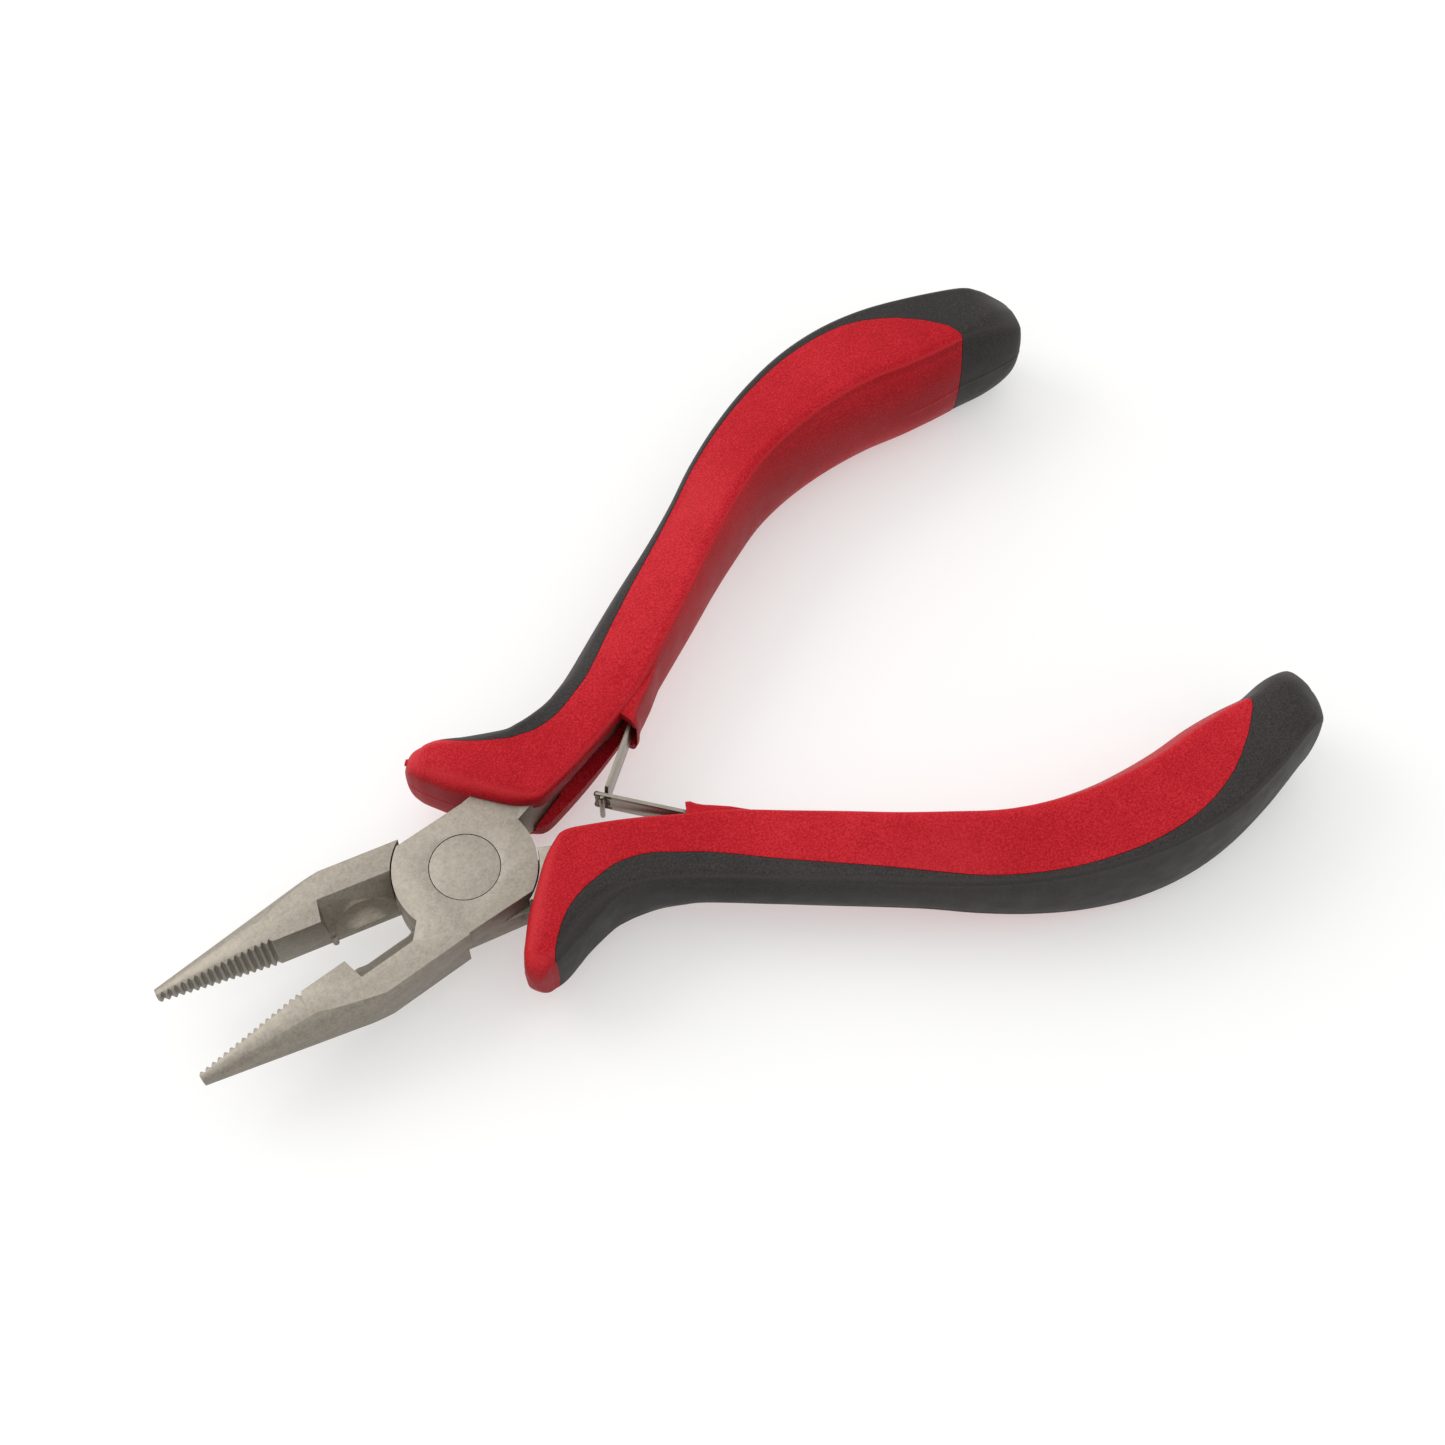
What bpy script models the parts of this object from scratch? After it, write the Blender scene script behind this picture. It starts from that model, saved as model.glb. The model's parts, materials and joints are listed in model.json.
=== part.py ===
"""Small spring-opened lap-joint pliers with serrated half-round nose, side cutter and two-colour grips.

Frame: +X runs from the jaws to the handle ends along the bisector, +Y is the side of handle A, +Z is up.
The origin is under the middle of the tool, on the surface it would lie on.
All the dimensions below are millimetres in a frame whose origin is on the pivot axis, half way up the head.
"""

import math

import bmesh
import bpy
from mathutils import Matrix, Vector

MM = 0.001

# ---- where the pivot stands in the part's frame --------------------------------
PIVOT_X = -28.10  # middle of the overall length to the pivot axis
PIVOT_Y = -0.175  # middle of the overall width to the pivot axis
PIVOT_Z = 7.773  # surface that the tool lies on to the head's mid-plane

# ---- head, lap joint and rivet ------------------------------------------------
HEAD_H = 3.15  # half thickness of the forged head and jaws
LAP_GAP = 0.15  # each lap stops this far from the mid-plane
LAP_R = 7.8  # round of each lap about the pivot
SHOULDER_R = 8.15  # round shoulder that faces the other half's lap
RIVET_R = 3.8
RIVET_HOLE_R = 4.1
CLOSE_DEG = 15.6  # how far the halves turn from sprung open to shut

# ---- jaws, measured along and across each jaw's own line from the pivot ------------
JAW_OPEN_DEG = 7.0  # each jaw's line from the tool's centre line, sprung open
JAW_LEN = 34.6
LAND = {"a": 1.0, "b": 0.3}  # land's offset outwards from the jaw's line
JAW_W = 5.6  # land to outer face
LAND_BACK = 15.65  # where the cutter notch ends and the land begins
NOTCH_D = 2.56  # notch depth at the top face
CUT_Z = -2.0  # height of the cutting edge
TIP_R = 0.78  # radius of the half-round nose at its tip, and how it grows
NOSE_TAPER = 0.21
TIP_C = 0.45  # the nose's centre from the land at the tip, and how it moves
NOSE_DRIFT = 0.059

# ---- tang: inner and outer edges of the bar inside each grip, for a handle on +Y -----
TANG_IN = [(7.6, 2.0), (9.9, 2.9), (13.5, 4.6), (18.5, 6.6), (26.3, 9.65), (35.2, 15.9), (43.1, 21.7), (50.9, 26.8), (59.0, 30.0), (64.6, 31.8)]
TANG_OUT = [(3.4, 6.75), (7.5, 7.6), (12.0, 7.9), (17.0, 9.0), (23.9, 12.1), (33.0, 18.2), (41.0, 23.7), (49.0, 29.0), (57.6, 32.6), (63.8, 34.0)]
TANG_HEAD_X = 14.0  # the bar is as thick as the head up to here
TANG_H = 2.5  # its half thickness inside the grip
FIT = 0.3  # clearance between assembled pieces

# ---- grips: stations (inner x, y), (outer x, y), inner and outer half height,
#      inner and outer bulge, edge rounding, share of the width where the pad begins ----
GUARD = [
    ((0.35, 13.5), (1.3, 14.5), 3.3, 3.3, 0.1, 0.1, 0.5, 0.62),
    ((0.75, 12.2), (2.6, 14.6), 4.6, 4.6, 0.2, 0.2, 1.0, 0.74),
    ((1.6, 11.0), (4.2, 14.1), 5.1, 5.1, 0.3, 0.3, 1.2, 0.80),
    ((3.2, 8.9), (5.9, 13.4), 5.3, 5.3, 0.3, 0.3, 1.3, 0.81),
    ((5.3, 6.5), (8.0, 12.6), 5.4, 5.3, 0.3, 0.4, 1.3, 0.82),
    ((7.6, 4.1), (10.0, 11.9), 5.4, 5.2, 0.2, 0.5, 1.2, 0.81),
    ((9.4, 2.75), (11.6, 11.5), 5.3, 5.1, 0.1, 0.5, 1.1, 0.80),
    ((10.9, 2.25), (12.8, 11.4), 5.2, 5.0, 0.0, 0.6, 1.0, 0.80),
    ((13.6, 3.0), (14.4, 11.5), 5.0, 4.8, 0.0, 0.8, 0.9, 0.79),
    ((18.0, 4.7), (16.8, 12.0), 4.7, 4.4, 0.1, 1.0, 0.8, 0.78),
    ((22.6, 6.8), (19.2, 12.9), 4.4, 4.0, 0.2, 1.3, 0.8, 0.77),
]
PALM_IN = {
    "a": [(27, 8.97), (36, 15.03), (44, 20.64), (52, 25.35), (60, 27.8), (68, 28.7), (76, 28.1), (83, 27.9)],
    "b": [(27, 8.8), (36, 15.2), (44, 20.97), (52, 25.83), (60, 28.4), (68, 29.25), (76, 28.55), (83, 28.4)],
}
PALM_OUT = {
    "a": [(22, 14.16), (31, 20.37), (39, 25.86), (47, 31.4), (56, 35.8), (66, 37.9), (76, 37.3), (86, 34.0)],
    "b": [(22, 14.05), (31, 20.2), (39, 25.57), (47, 31.0), (56, 35.45), (66, 37.57), (76, 36.85), (86, 33.4)],
}
PALM_KEYS = [0.0, 0.35, 0.7, 1.0]
PALM_H_IN = [4.15, 7.35, 7.95, 7.7]
PALM_H_OUT = [3.7, 3.6, 6.2, 6.4]
PALM_BULGE_IN = [0.38, 1.5, 2.6, 2.1]
PALM_BULGE_OUT = [1.7, 0.6, 0.4, 0.5]
PAD_KEYS = [0.0, 0.12, 0.3, 0.47, 0.6, 0.7, 0.8, 0.86, 0.9, 0.957, 0.975, 1.0]
PAD_SHARE = [0.76, 0.80, 0.865, 0.915, 0.90, 0.875, 0.80, 0.68, 0.545, 0.14, -0.6, -1.0]
END = [
    ((86.2, 28.0), (88.6, 33.4), 7.2, 6.3, 1.6, 0.5, 0.9, -1.0),
    ((87.8, 28.3), (89.8, 32.6), 6.3, 5.8, 1.0, 0.4, 0.9, -1.0),
    ((88.8, 29.2), (90.4, 31.8), 4.9, 4.6, 0.4, 0.2, 0.8, -1.0),
]
PALM_STEPS = 16
PALM_EXTRA = (0.91, 0.957, 0.975)  # closer sections where the second colour crosses the grip
PAD_GAP = 0.18  # each side of the joint between the two colours

# ---- leaf springs, for the handle on +Y ------------------------------------------
LEAF_ROOT = (26.6, 8.6)
LEAF_CROSS_X = 16.9  # where the two leaves cross, on the centre line
LEAF_T = 0.4
LEAF_HALF_W = 1.9
LEAF_PAST = 1.3  # how far each leaf runs past the crossing
STEM_HALF_W = 0.6
FORK_HALF_W = 1.0
HOOD_MOUTH_X = 24.0
CHANNEL_H = 2.6  # half height of the open channel in front of the hood
PIN_R = 0.6
PIN_HEAD_R = 1.0


# ---------------------------------------------------------------- small maths
def spline(points, t):
    """Smooth curve through equally spaced control points, t from 0 to 1."""
    n = len(points) - 1
    f = min(max(t, 0.0), 1.0) * n
    i = min(int(f), n - 1)
    u = f - i
    p1, p2 = points[i], points[i + 1]
    p0 = points[i - 1] if i else tuple(2 * a - b for a, b in zip(p1, p2))
    p3 = points[i + 2] if i + 2 <= n else tuple(2 * a - b for a, b in zip(p2, p1))
    return tuple(
        0.5 * (2 * b + (c - a) * u + (2 * a - 5 * b + 4 * c - d) * u * u + (3 * b - a - 3 * c + d) * u ** 3)
        for a, b, c, d in zip(p0, p1, p2, p3)
    )


def along(keys, values, t):
    """Smoothstep-free linear reading of a table."""
    if t <= keys[0]:
        return values[0]
    for (k0, v0), (k1, v1) in zip(zip(keys, values), list(zip(keys, values))[1:]):
        if t <= k1:
            return v0 + (v1 - v0) * (t - k0) / (k1 - k0)
    return values[-1]


def world(x, y, z):
    return Vector(((x + PIVOT_X) * MM, (y + PIVOT_Y) * MM, (z + PIVOT_Z) * MM))


def jaw_frame(half):
    """Jaw A is on -Y, jaw B on +Y. Returns the matrix from (along, outwards, up) to the pivot frame."""
    side = -1.0 if half == "a" else 1.0
    b = math.radians(JAW_OPEN_DEG)
    along_axis = Vector((-math.cos(b), side * math.sin(b), 0))
    out_axis = Vector((math.sin(b), side * math.cos(b), 0))
    return along_axis, out_axis


def jaw_point(half, r, w):
    a, o = jaw_frame(half)
    p = a * r + o * (w)
    return (p.x, p.y)


# ---------------------------------------------------------------- object making
def collection(name):
    made = bpy.data.collections.new(name)
    bpy.context.scene.collection.children.link(made)
    return made


def material(name, colour, metallic, roughness):
    made = bpy.data.materials.new(name)
    made.use_nodes = True
    shader = made.node_tree.nodes["Principled BSDF"]
    shader.inputs["Base Color"].default_value = (*colour, 1)
    shader.inputs["Metallic"].default_value = metallic
    shader.inputs["Roughness"].default_value = roughness
    return made


def add(name, mesh, home, mat=None, cutter=False):
    obj = bpy.data.objects.new(name, mesh)
    home.objects.link(obj)
    if mat:
        obj.data.materials.append(mat)
    if cutter:
        obj.hide_render = True
        obj.display_type = "WIRE"
    return obj


def bm_mesh(name, bm):
    bmesh.ops.recalc_face_normals(bm, faces=bm.faces)
    mesh = bpy.data.meshes.new(name)
    bm.to_mesh(mesh)
    bm.free()
    return mesh


def prism(name, points, z0, z1):
    """Flat outline extruded from z0 to z1, as a filled 2D curve turned to a mesh."""
    curve = bpy.data.curves.new(name, "CURVE")
    curve.dimensions = "2D"
    curve.fill_mode = "BOTH"
    curve.extrude = (z1 - z0) / 2 * MM
    line = curve.splines.new("POLY")
    line.points.add(len(points) - 1)
    for p, (x, y) in zip(line.points, points):
        p.co = (x * MM, y * MM, 0, 1)
    line.use_cyclic_u = True
    temp = bpy.data.objects.new(name, curve)
    bpy.context.scene.collection.objects.link(temp)
    bpy.context.view_layer.update()
    mesh = bpy.data.meshes.new_from_object(temp.evaluated_get(bpy.context.evaluated_depsgraph_get()))
    bpy.data.objects.remove(temp)
    bm = bmesh.new()
    bm.from_mesh(mesh)
    bpy.data.meshes.remove(mesh)
    bmesh.ops.remove_doubles(bm, verts=bm.verts, dist=1e-7)
    bmesh.ops.translate(bm, verts=bm.verts, vec=(PIVOT_X * MM, PIVOT_Y * MM, ((z0 + z1) / 2 + PIVOT_Z) * MM))
    return bm_mesh(name, bm)


def cylinder(name, centre, radius, z0, z1, segments=64, radius2=None, axis=None):
    bm = bmesh.new()
    bmesh.ops.create_cone(
        bm, cap_ends=True, segments=segments, radius1=radius * MM,
        radius2=(radius if radius2 is None else radius2) * MM, depth=(z1 - z0) * MM,
    )
    turn = Matrix.Identity(4)
    if axis is not None:
        turn = Vector((0, 0, 1)).rotation_difference(Vector(axis)).to_matrix().to_4x4()
    shift = Matrix.Translation(world(*centre)) @ turn @ Matrix.Translation((0, 0, (z0 + z1) / 2 * MM))
    bmesh.ops.transform(bm, matrix=shift, verts=bm.verts)
    return bm_mesh(name, bm)


def loft(name, rings):
    """Closed skin over rings of equal length, capped at both ends."""
    bm = bmesh.new()
    rows = [[bm.verts.new(world(*p)) for p in ring] for ring in rings]
    n = len(rows[0])
    for r0, r1 in zip(rows, rows[1:]):
        for i in range(n):
            bm.faces.new((r0[i], r0[(i + 1) % n], r1[(i + 1) % n], r1[i]))
    for row in (rows[0], rows[-1]):
        hub = bm.verts.new(sum((v.co for v in row), Vector()) / n)
        for i in range(n):
            bm.faces.new((row[i], row[(i + 1) % n], hub))
    return bm_mesh(name, bm)


def boolean(obj, tool, operation, solver="EXACT"):
    mod = obj.modifiers.new(operation.title(), "BOOLEAN")
    mod.operation = operation
    mod.solver = solver
    mod.object = tool


def settled(obj):
    """Applies the modifiers, so the next Boolean starts from one plain mesh."""
    bpy.context.view_layer.update()
    mesh = bpy.data.meshes.new_from_object(obj.evaluated_get(bpy.context.evaluated_depsgraph_get()))
    old = obj.data
    obj.modifiers.clear()
    obj.data = mesh
    bpy.data.meshes.remove(old)
    return obj


def mirrored(points, side):
    return [(x, y * side) for x, y in points]


# ---------------------------------------------------------------- shapes
def arc(radius, a0, a1, steps):
    return [
        (radius * math.cos(math.radians(a0 + (a1 - a0) * i / steps)), radius * math.sin(math.radians(a0 + (a1 - a0) * i / steps)))
        for i in range(steps + 1)
    ]


def lap_outline(half):
    """One half's lap: the round about the pivot, run out to its jaw on one side and its tang on the other."""
    side = 1.0 if half == "a" else -1.0  # the handle's side
    land = LAND[half]
    jaw_side = jaw_point(half, 9.5, land + JAW_W)
    jaw_flank = jaw_point(half, 3.2, land + JAW_W - 0.15)
    jaw_in = jaw_point(half, 9.5, land + NOTCH_D + 0.3)
    tang_out = (TANG_OUT[1][0], TANG_OUT[1][1] * side)
    tang_in = (TANG_IN[1][0], TANG_IN[1][1] * side)
    jaw_angle = math.degrees(math.atan2((land + NOTCH_D + 0.3), -7.2)) + JAW_OPEN_DEG
    left = [(x, y * side) for x, y in arc(LAP_R, 131, 360 - jaw_angle - 0.0, 14)]
    right = [(x, y * side) for x, y in arc(LAP_R, -52, 15, 12)]
    flank_top = (TANG_OUT[0][0], TANG_OUT[0][1] * side)
    return [flank_top, *left, jaw_in, jaw_side, jaw_flank, *right, tang_in, tang_out]


def jaw_parts(half):
    """The jaw's bar, its tapering half-round envelope and the cutter notch."""
    land = LAND[half]
    bar = [jaw_point(half, r, w) for r, w in ((6.4, land + NOTCH_D), (6.4, land + JAW_W), (JAW_LEN, land + JAW_W), (JAW_LEN, land), (7.0, land))]
    a, o = jaw_frame(half)
    tip = a * (JAW_LEN + 0.6) + o * (land + TIP_C - 0.6 * NOSE_DRIFT)
    back = a * 2.0 + o * (land + TIP_C + (JAW_LEN - 2.0) * NOSE_DRIFT)
    span = (tip - back).length
    nose = cylinder(
        "nose_" + half, (back.x, back.y, 0), TIP_R + (JAW_LEN - 2.0) * NOSE_TAPER, 0, span,
        segments=44, radius2=TIP_R - 0.6 * NOSE_TAPER, axis=(tip - back).normalized(),
    )
    # the notch is a wedge: full depth at the top face, nothing at the cutting edge
    slope = NOTCH_D / (HEAD_H - CUT_Z)
    rings = []
    for r in (6.0, LAND_BACK):
        ring = []
        for w, z in ((land - 4.0, CUT_Z - 0.05), (land - slope * 0.05, CUT_Z - 0.05), (land + slope * (4.5 - CUT_Z), 4.5), (land - 4.0, 4.5)):
            x, y = jaw_point(half, r, w)
            ring.append((x, y, z))
        rings.append(ring)
    return bar, nose, loft("notch_" + half, rings)


def tang_outline(extra=0.0, from_x=None):
    """Outline of the bar inside the grip, widened by extra on every side."""
    ins, outs = [], []
    last = len(TANG_IN) - 1
    for i in range(0, 4 * last + 1):
        t = i / (4 * last)
        a, b = Vector(spline(TANG_IN, t)), Vector(spline(TANG_OUT, t))
        d = (b - a).normalized()
        ins.append(a - d * extra)
        outs.append(b + d * extra)
    run = (ins[-1] - ins[-2]).normalized()
    ins.append(ins[-1] + run * max(extra, 0.01))
    outs.append(outs[-1] + run * max(extra, 0.01))
    if from_x is not None:
        keep = [i for i, p in enumerate(ins) if p.x >= from_x]
        ins, outs = [ins[i] for i in keep], [outs[i] for i in keep]
    return [(p.x, p.y) for p in ins] + [(p.x, p.y) for p in reversed(outs)]


def grip_stations(half):
    rows = list(GUARD)
    for t in sorted([*(i / PALM_STEPS for i in range(PALM_STEPS + 1)), *PALM_EXTRA]):
        rows.append((
            spline(PALM_IN[half], t), spline(PALM_OUT[half], t),
            along(PALM_KEYS, PALM_H_IN, t), along(PALM_KEYS, PALM_H_OUT, t),
            along(PALM_KEYS, PALM_BULGE_IN, t), along(PALM_KEYS, PALM_BULGE_OUT, t),
            0.8, along(PAD_KEYS, PAD_SHARE, t),
        ))
    return rows + list(END)


def side_profile(height, bulge, z):
    return bulge * (1 - min(1.0, abs(z) / height) ** 2.5)


INNER_Z = (-0.55, 0.0, 0.55)


def ring_points(station, kind, side):
    """Section of one grip station. kind is core (inner side to the joint) or pad (joint to outer side)."""
    (ix, iy), (ox, oy), hi, ho, mi, mo, c, share = station
    a, b = Vector((ix, iy)), Vector((ox, oy))
    width = (b - a).length
    d = (b - a) / width

    def at(u, z):
        p = a + d * u
        return (p.x, p.y * side, z)

    def top(u):
        f = min(max(u / width, 0.0), 1.0)
        return hi + (ho - hi) * f

    joint = share * width
    if kind == "core":
        j = joint - PAD_GAP
        inner = [(-side_profile(hi, mi, z), z) for z in [-(hi - c), *(hi * k for k in INNER_Z), hi - c]]
        first = min(c, j * 0.4)
        mid = (first + j) / 2
        return [at(u, z) for u, z in inner] + [
            at(first, top(first)), at(mid, top(mid)), at(j, top(j)), at(j, -top(j)), at(mid, -top(mid)), at(first, -top(first)),
        ]
    inner = []
    for z in [-(hi - c), *(hi * k for k in INNER_Z), hi - c]:
        free = -side_profile(hi, mi, z)
        u = max(free, joint + PAD_GAP)
        inner.append((u, z * (top(max(u, 0)) / hi)))
    start = joint + PAD_GAP if joint > 0 else c
    if joint + PAD_GAP > 0:  # the wall of the joint reaches the top face square
        inner[0] = (inner[0][0], -top(inner[0][0]) * 0.96)
        inner[-1] = (inner[-1][0], top(inner[-1][0]) * 0.96)
    end_c = min(c, (width - start) * 0.6)
    mid = (start + width - end_c) / 2
    outer = [(width + side_profile(ho, mo, z), z) for z in (ho - c, 0.0, -(ho - c))]
    return [at(u, z) for u, z in inner] + [
        at(start, top(start)), at(mid, top(mid)), at(width - end_c, top(width - end_c)),
    ] + [at(u, z) for u, z in outer] + [
        at(width - end_c, -top(width - end_c)), at(mid, -top(mid)), at(start, -top(start)),
    ]


def leaf_lines():
    root, cross = Vector(LEAF_ROOT), Vector((LEAF_CROSS_X, 0.0))
    run = (cross - root).normalized()
    return root, cross, run


def slab(name, p0, p1, thick, z0, z1, side):
    """Thin plate standing between plan points p0 and p1."""
    d = (p1 - p0).normalized()
    n = Vector((-d.y, d.x)) * thick / 2
    return prism(name, [(q.x, q.y * side) for q in (p0 + n, p1 + n, p1 - n, p0 - n)], z0, z1)


# ---------------------------------------------------------------- the build
def build():
    for obj in list(bpy.data.objects):
        bpy.data.objects.remove(obj, do_unlink=True)
    parts, cutters = collection("spring_pliers"), collection("cutters")
    steel = material("satin_steel", (0.40, 0.37, 0.33), 1.0, 0.42)
    spring_steel = material("spring_steel", (0.45, 0.43, 0.40), 1.0, 0.3)
    red = material("grip_red", (0.49, 0.028, 0.032), 0.0, 0.45)
    black = material("grip_black", (0.046, 0.041, 0.038), 0.0, 0.5)

    def cutter(name, mesh):
        return add(name, mesh, cutters, cutter=True)

    for half in ("a", "b"):
        side = 1.0 if half == "a" else -1.0
        up = half == "a"  # half A carries the upper lap
        lap_z = (LAP_GAP, HEAD_H) if up else (-HEAD_H, -LAP_GAP)
        off_z = (-HEAD_H - 1, LAP_GAP) if up else (-LAP_GAP, HEAD_H + 1)

        # jaw: bar within the half-round envelope, notched, then cleared for the other lap
        bar, nose, notch = jaw_parts(half)
        jaw = add("jaw_" + half, prism("jaw_" + half, bar, -HEAD_H, HEAD_H), cutters, cutter=True)
        boolean(jaw, cutter("nose_tool_" + half, nose), "INTERSECT", "MANIFOLD")
        boolean(jaw, cutter("notch_tool_" + half, notch), "DIFFERENCE", "MANIFOLD")
        settled(jaw)
        clear = cutter("clear_tool_" + half, cylinder("clear_" + half, (0, 0, 0), SHOULDER_R, *off_z, segments=72))
        boolean(jaw, clear, "DIFFERENCE", "MANIFOLD")
        settled(jaw)

        # tang: head-thick root and thinner bar, cleared the same way
        root_pts = [p for p in zip(TANG_IN, TANG_OUT) if p[0][0] <= TANG_HEAD_X]
        root = mirrored([(p[0][0], p[0][1] - 0.06) for p in root_pts] + [(p[1][0], p[1][1] + 0.06) for p in reversed(root_pts)], side)
        tang = add("tang_" + half, prism("tang_" + half, root, -HEAD_H, HEAD_H), cutters, cutter=True)
        bar_pts = mirrored(tang_outline(0.0, from_x=11.0), side)
        boolean(tang, cutter("bar_tool_" + half, prism("bar_" + half, bar_pts, -TANG_H, TANG_H)), "UNION", "MANIFOLD")
        settled(tang)
        boolean(tang, clear, "DIFFERENCE", "MANIFOLD")
        settled(tang)

        body = add("plier_half_" + half, prism("lap_" + half, lap_outline(half), *lap_z), parts, steel)
        boolean(body, jaw, "UNION", "MANIFOLD")
        settled(body)
        boolean(body, tang, "UNION", "MANIFOLD")
        settled(body)
        boolean(body, cutter("rivet_hole_" + half, cylinder("rivet_hole_" + half, (0, 0, 0), RIVET_HOLE_R, -5, 5, segments=48)), "DIFFERENCE", "MANIFOLD")
        settled(body)

        # spring rivet's hole in the tang
        rootp, crossp, run = leaf_lines()
        tang_dir = (Vector(spline(TANG_IN, 4.1 / 9)) - Vector(spline(TANG_IN, 3.9 / 9))).normalized()
        into = Vector((-tang_dir.y, tang_dir.x))
        axis = (into.x, into.y * side, 0)
        base = (rootp.x, rootp.y * side, 0)
        boolean(body, cutter("pin_hole_" + half, cylinder("pin_hole_" + half, base, PIN_R + 0.25, -3.0, 8.0, segments=20, axis=axis)), "DIFFERENCE", "MANIFOLD")
        settled(body)
        body.data.materials.clear()
        body.data.materials.append(steel)

        # spring rivet: head on the inner side of the leaf, shank in the tang
        pin = add("spring_rivet_" + half, cylinder("pin_" + half, base, PIN_R, -0.8, 3.2, segments=20, axis=axis), parts, spring_steel)
        boolean(pin, cutter("pin_head_" + half, cylinder("pin_head_" + half, base, PIN_HEAD_R, -0.95, -0.5, segments=24, axis=axis)), "UNION")
        settled(pin)
        pin.data.materials.clear()
        pin.data.materials.append(spring_steel)

        # leaf: plate to the crossing, then a T stem on A and a fork on B
        near = crossp - run * 1.6
        far = crossp + run * LEAF_PAST
        leaf = add("leaf_spring_" + half, slab("leaf_" + half, rootp - run * 1.3, near + run * 0.05, LEAF_T, -LEAF_HALF_W, LEAF_HALF_W, side), parts, spring_steel)
        if up:
            boolean(leaf, cutter("stem_a", slab("stem_a", near - run * 0.3, far, LEAF_T, -STEM_HALF_W, STEM_HALF_W, side)), "UNION")
            boolean(leaf, cutter("tee_a", slab("tee_a", far - run * 0.45, far + run * 0.1, LEAF_T, -LEAF_HALF_W, LEAF_HALF_W, side)), "UNION")
        else:
            boolean(leaf, cutter("prongs_b", slab("prongs_b", near - run * 0.3, far, LEAF_T, -LEAF_HALF_W, LEAF_HALF_W, side)), "UNION")
            settled(leaf)
            boolean(leaf, cutter("slot_b", slab("slot_b", near + run * 0.3, far + run * 2, 2.0, -FORK_HALF_W, FORK_HALF_W, side)), "DIFFERENCE")
        settled(leaf)
        boolean(leaf, cutter("leaf_hole_" + half, cylinder("leaf_hole_" + half, base, PIN_R + 0.3, -2.0, 2.0, segments=20, axis=axis)), "DIFFERENCE")
        settled(leaf)
        leaf.data.materials.clear()
        leaf.data.materials.append(spring_steel)

        # grips
        stations = grip_stations(half)
        core_rows = [s for s in stations if s[7] > 0.12]
        core = add("grip_core_" + half, loft("core_" + half, [ring_points(s, "core", side) for s in core_rows]), parts, red)
        pad = add("grip_pad_" + half, loft("pad_" + half, [ring_points(s, "pad", side) for s in stations]), parts, black)

        # hood over the spring's root
        hood_rings = []
        for x, rise, h in ((23.6, 1.8, 3.0), (25.4, 2.15, 3.2), (28.0, 2.15, 3.2), (31.0, 1.2, 3.0), (35.0, 0.1, 2.6)):
            t = (x - 27.0) / 9.0 / 7.0
            if t >= 0:
                base_p = Vector(spline(PALM_IN[half], t))
            else:
                f = (27.0 - x) / (27.0 - 22.6)
                base_p = Vector((27.0, 8.9)).lerp(Vector((22.6, 6.8)), f)
            inward = Vector((0.56, -0.83))
            p_in, p_out = base_p + inward * rise, base_p - inward * 0.9
            hood_rings.append([
                (p_in.x, p_in.y * side, -h * 0.6), (p_in.x, p_in.y * side, h * 0.6),
                (p_out.x, p_out.y * side, h * 1.15), (p_out.x, p_out.y * side, -h * 1.15),
            ])
        boolean(core, cutter("hood_" + half, loft("hood_" + half, hood_rings)), "UNION")
        settled(core)

        # pocket for the tang, open at the front
        front = mirrored([(TANG_IN[0][0] - 6, TANG_IN[0][1] - 6), *[(p[0] + 0.25, p[1] - 0.3) for p in TANG_IN[1:3]], (14.3, TANG_IN[2][1] + 0.1), (14.3, TANG_OUT[2][1] + 0.75), (TANG_OUT[2][0], TANG_OUT[2][1] + 0.32), (TANG_OUT[1][0], TANG_OUT[1][1] + 0.34), (TANG_OUT[0][0] - 6, TANG_OUT[0][1] - 1.2)], side)
        pocket = cutter("pocket_" + half, prism("pocket_" + half, front, -HEAD_H - FIT, HEAD_H + FIT))
        inner_pts = mirrored(tang_outline(FIT, from_x=9.0), side)
        boolean(pocket, cutter("bore_" + half, prism("bore_" + half, inner_pts, -TANG_H - FIT, TANG_H + FIT)), "UNION")
        settled(pocket)
        # open channel along the inner side, then the spring's room under the hood
        chan = mirrored([(9.0, 6.5), (6.0, -1.0), (HOOD_MOUTH_X, 3.0), (HOOD_MOUTH_X, 10.8), (17.0, 8.6)], side)
        boolean(pocket, cutter("channel_" + half, prism("channel_" + half, chan, -CHANNEL_H, CHANNEL_H)), "UNION")
        settled(pocket)
        d = run
        n = Vector((-d.y, d.x))  # towards the inner side
        if n.y > 0:
            n = -n
        r0 = rootp - d * 2.0
        room = mirrored([(q.x, q.y) for q in (r0 + n * 1.3, rootp + d * 7 + n * 1.3, rootp + d * 7 - n * 3.2, r0 - n * 2.0)], side)
        boolean(pocket, cutter("room_" + half, prism("room_" + half, room, -LEAF_HALF_W - FIT, LEAF_HALF_W + FIT)), "UNION")
        settled(pocket)
        boolean(core, pocket, "DIFFERENCE")
        settled(core)
        core.data.materials.clear()
        core.data.materials.append(red)

    rivet = add("joint_rivet", cylinder("rivet", (0, 0, 0), RIVET_R, -HEAD_H, HEAD_H, segments=48), parts, steel)

    # origins: each moving piece's object sits on its own axis
    def seat(obj, x, y):
        spot = world(x, y, 0)
        obj.data.transform(Matrix.Translation(-spot))
        obj.location = spot

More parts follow.
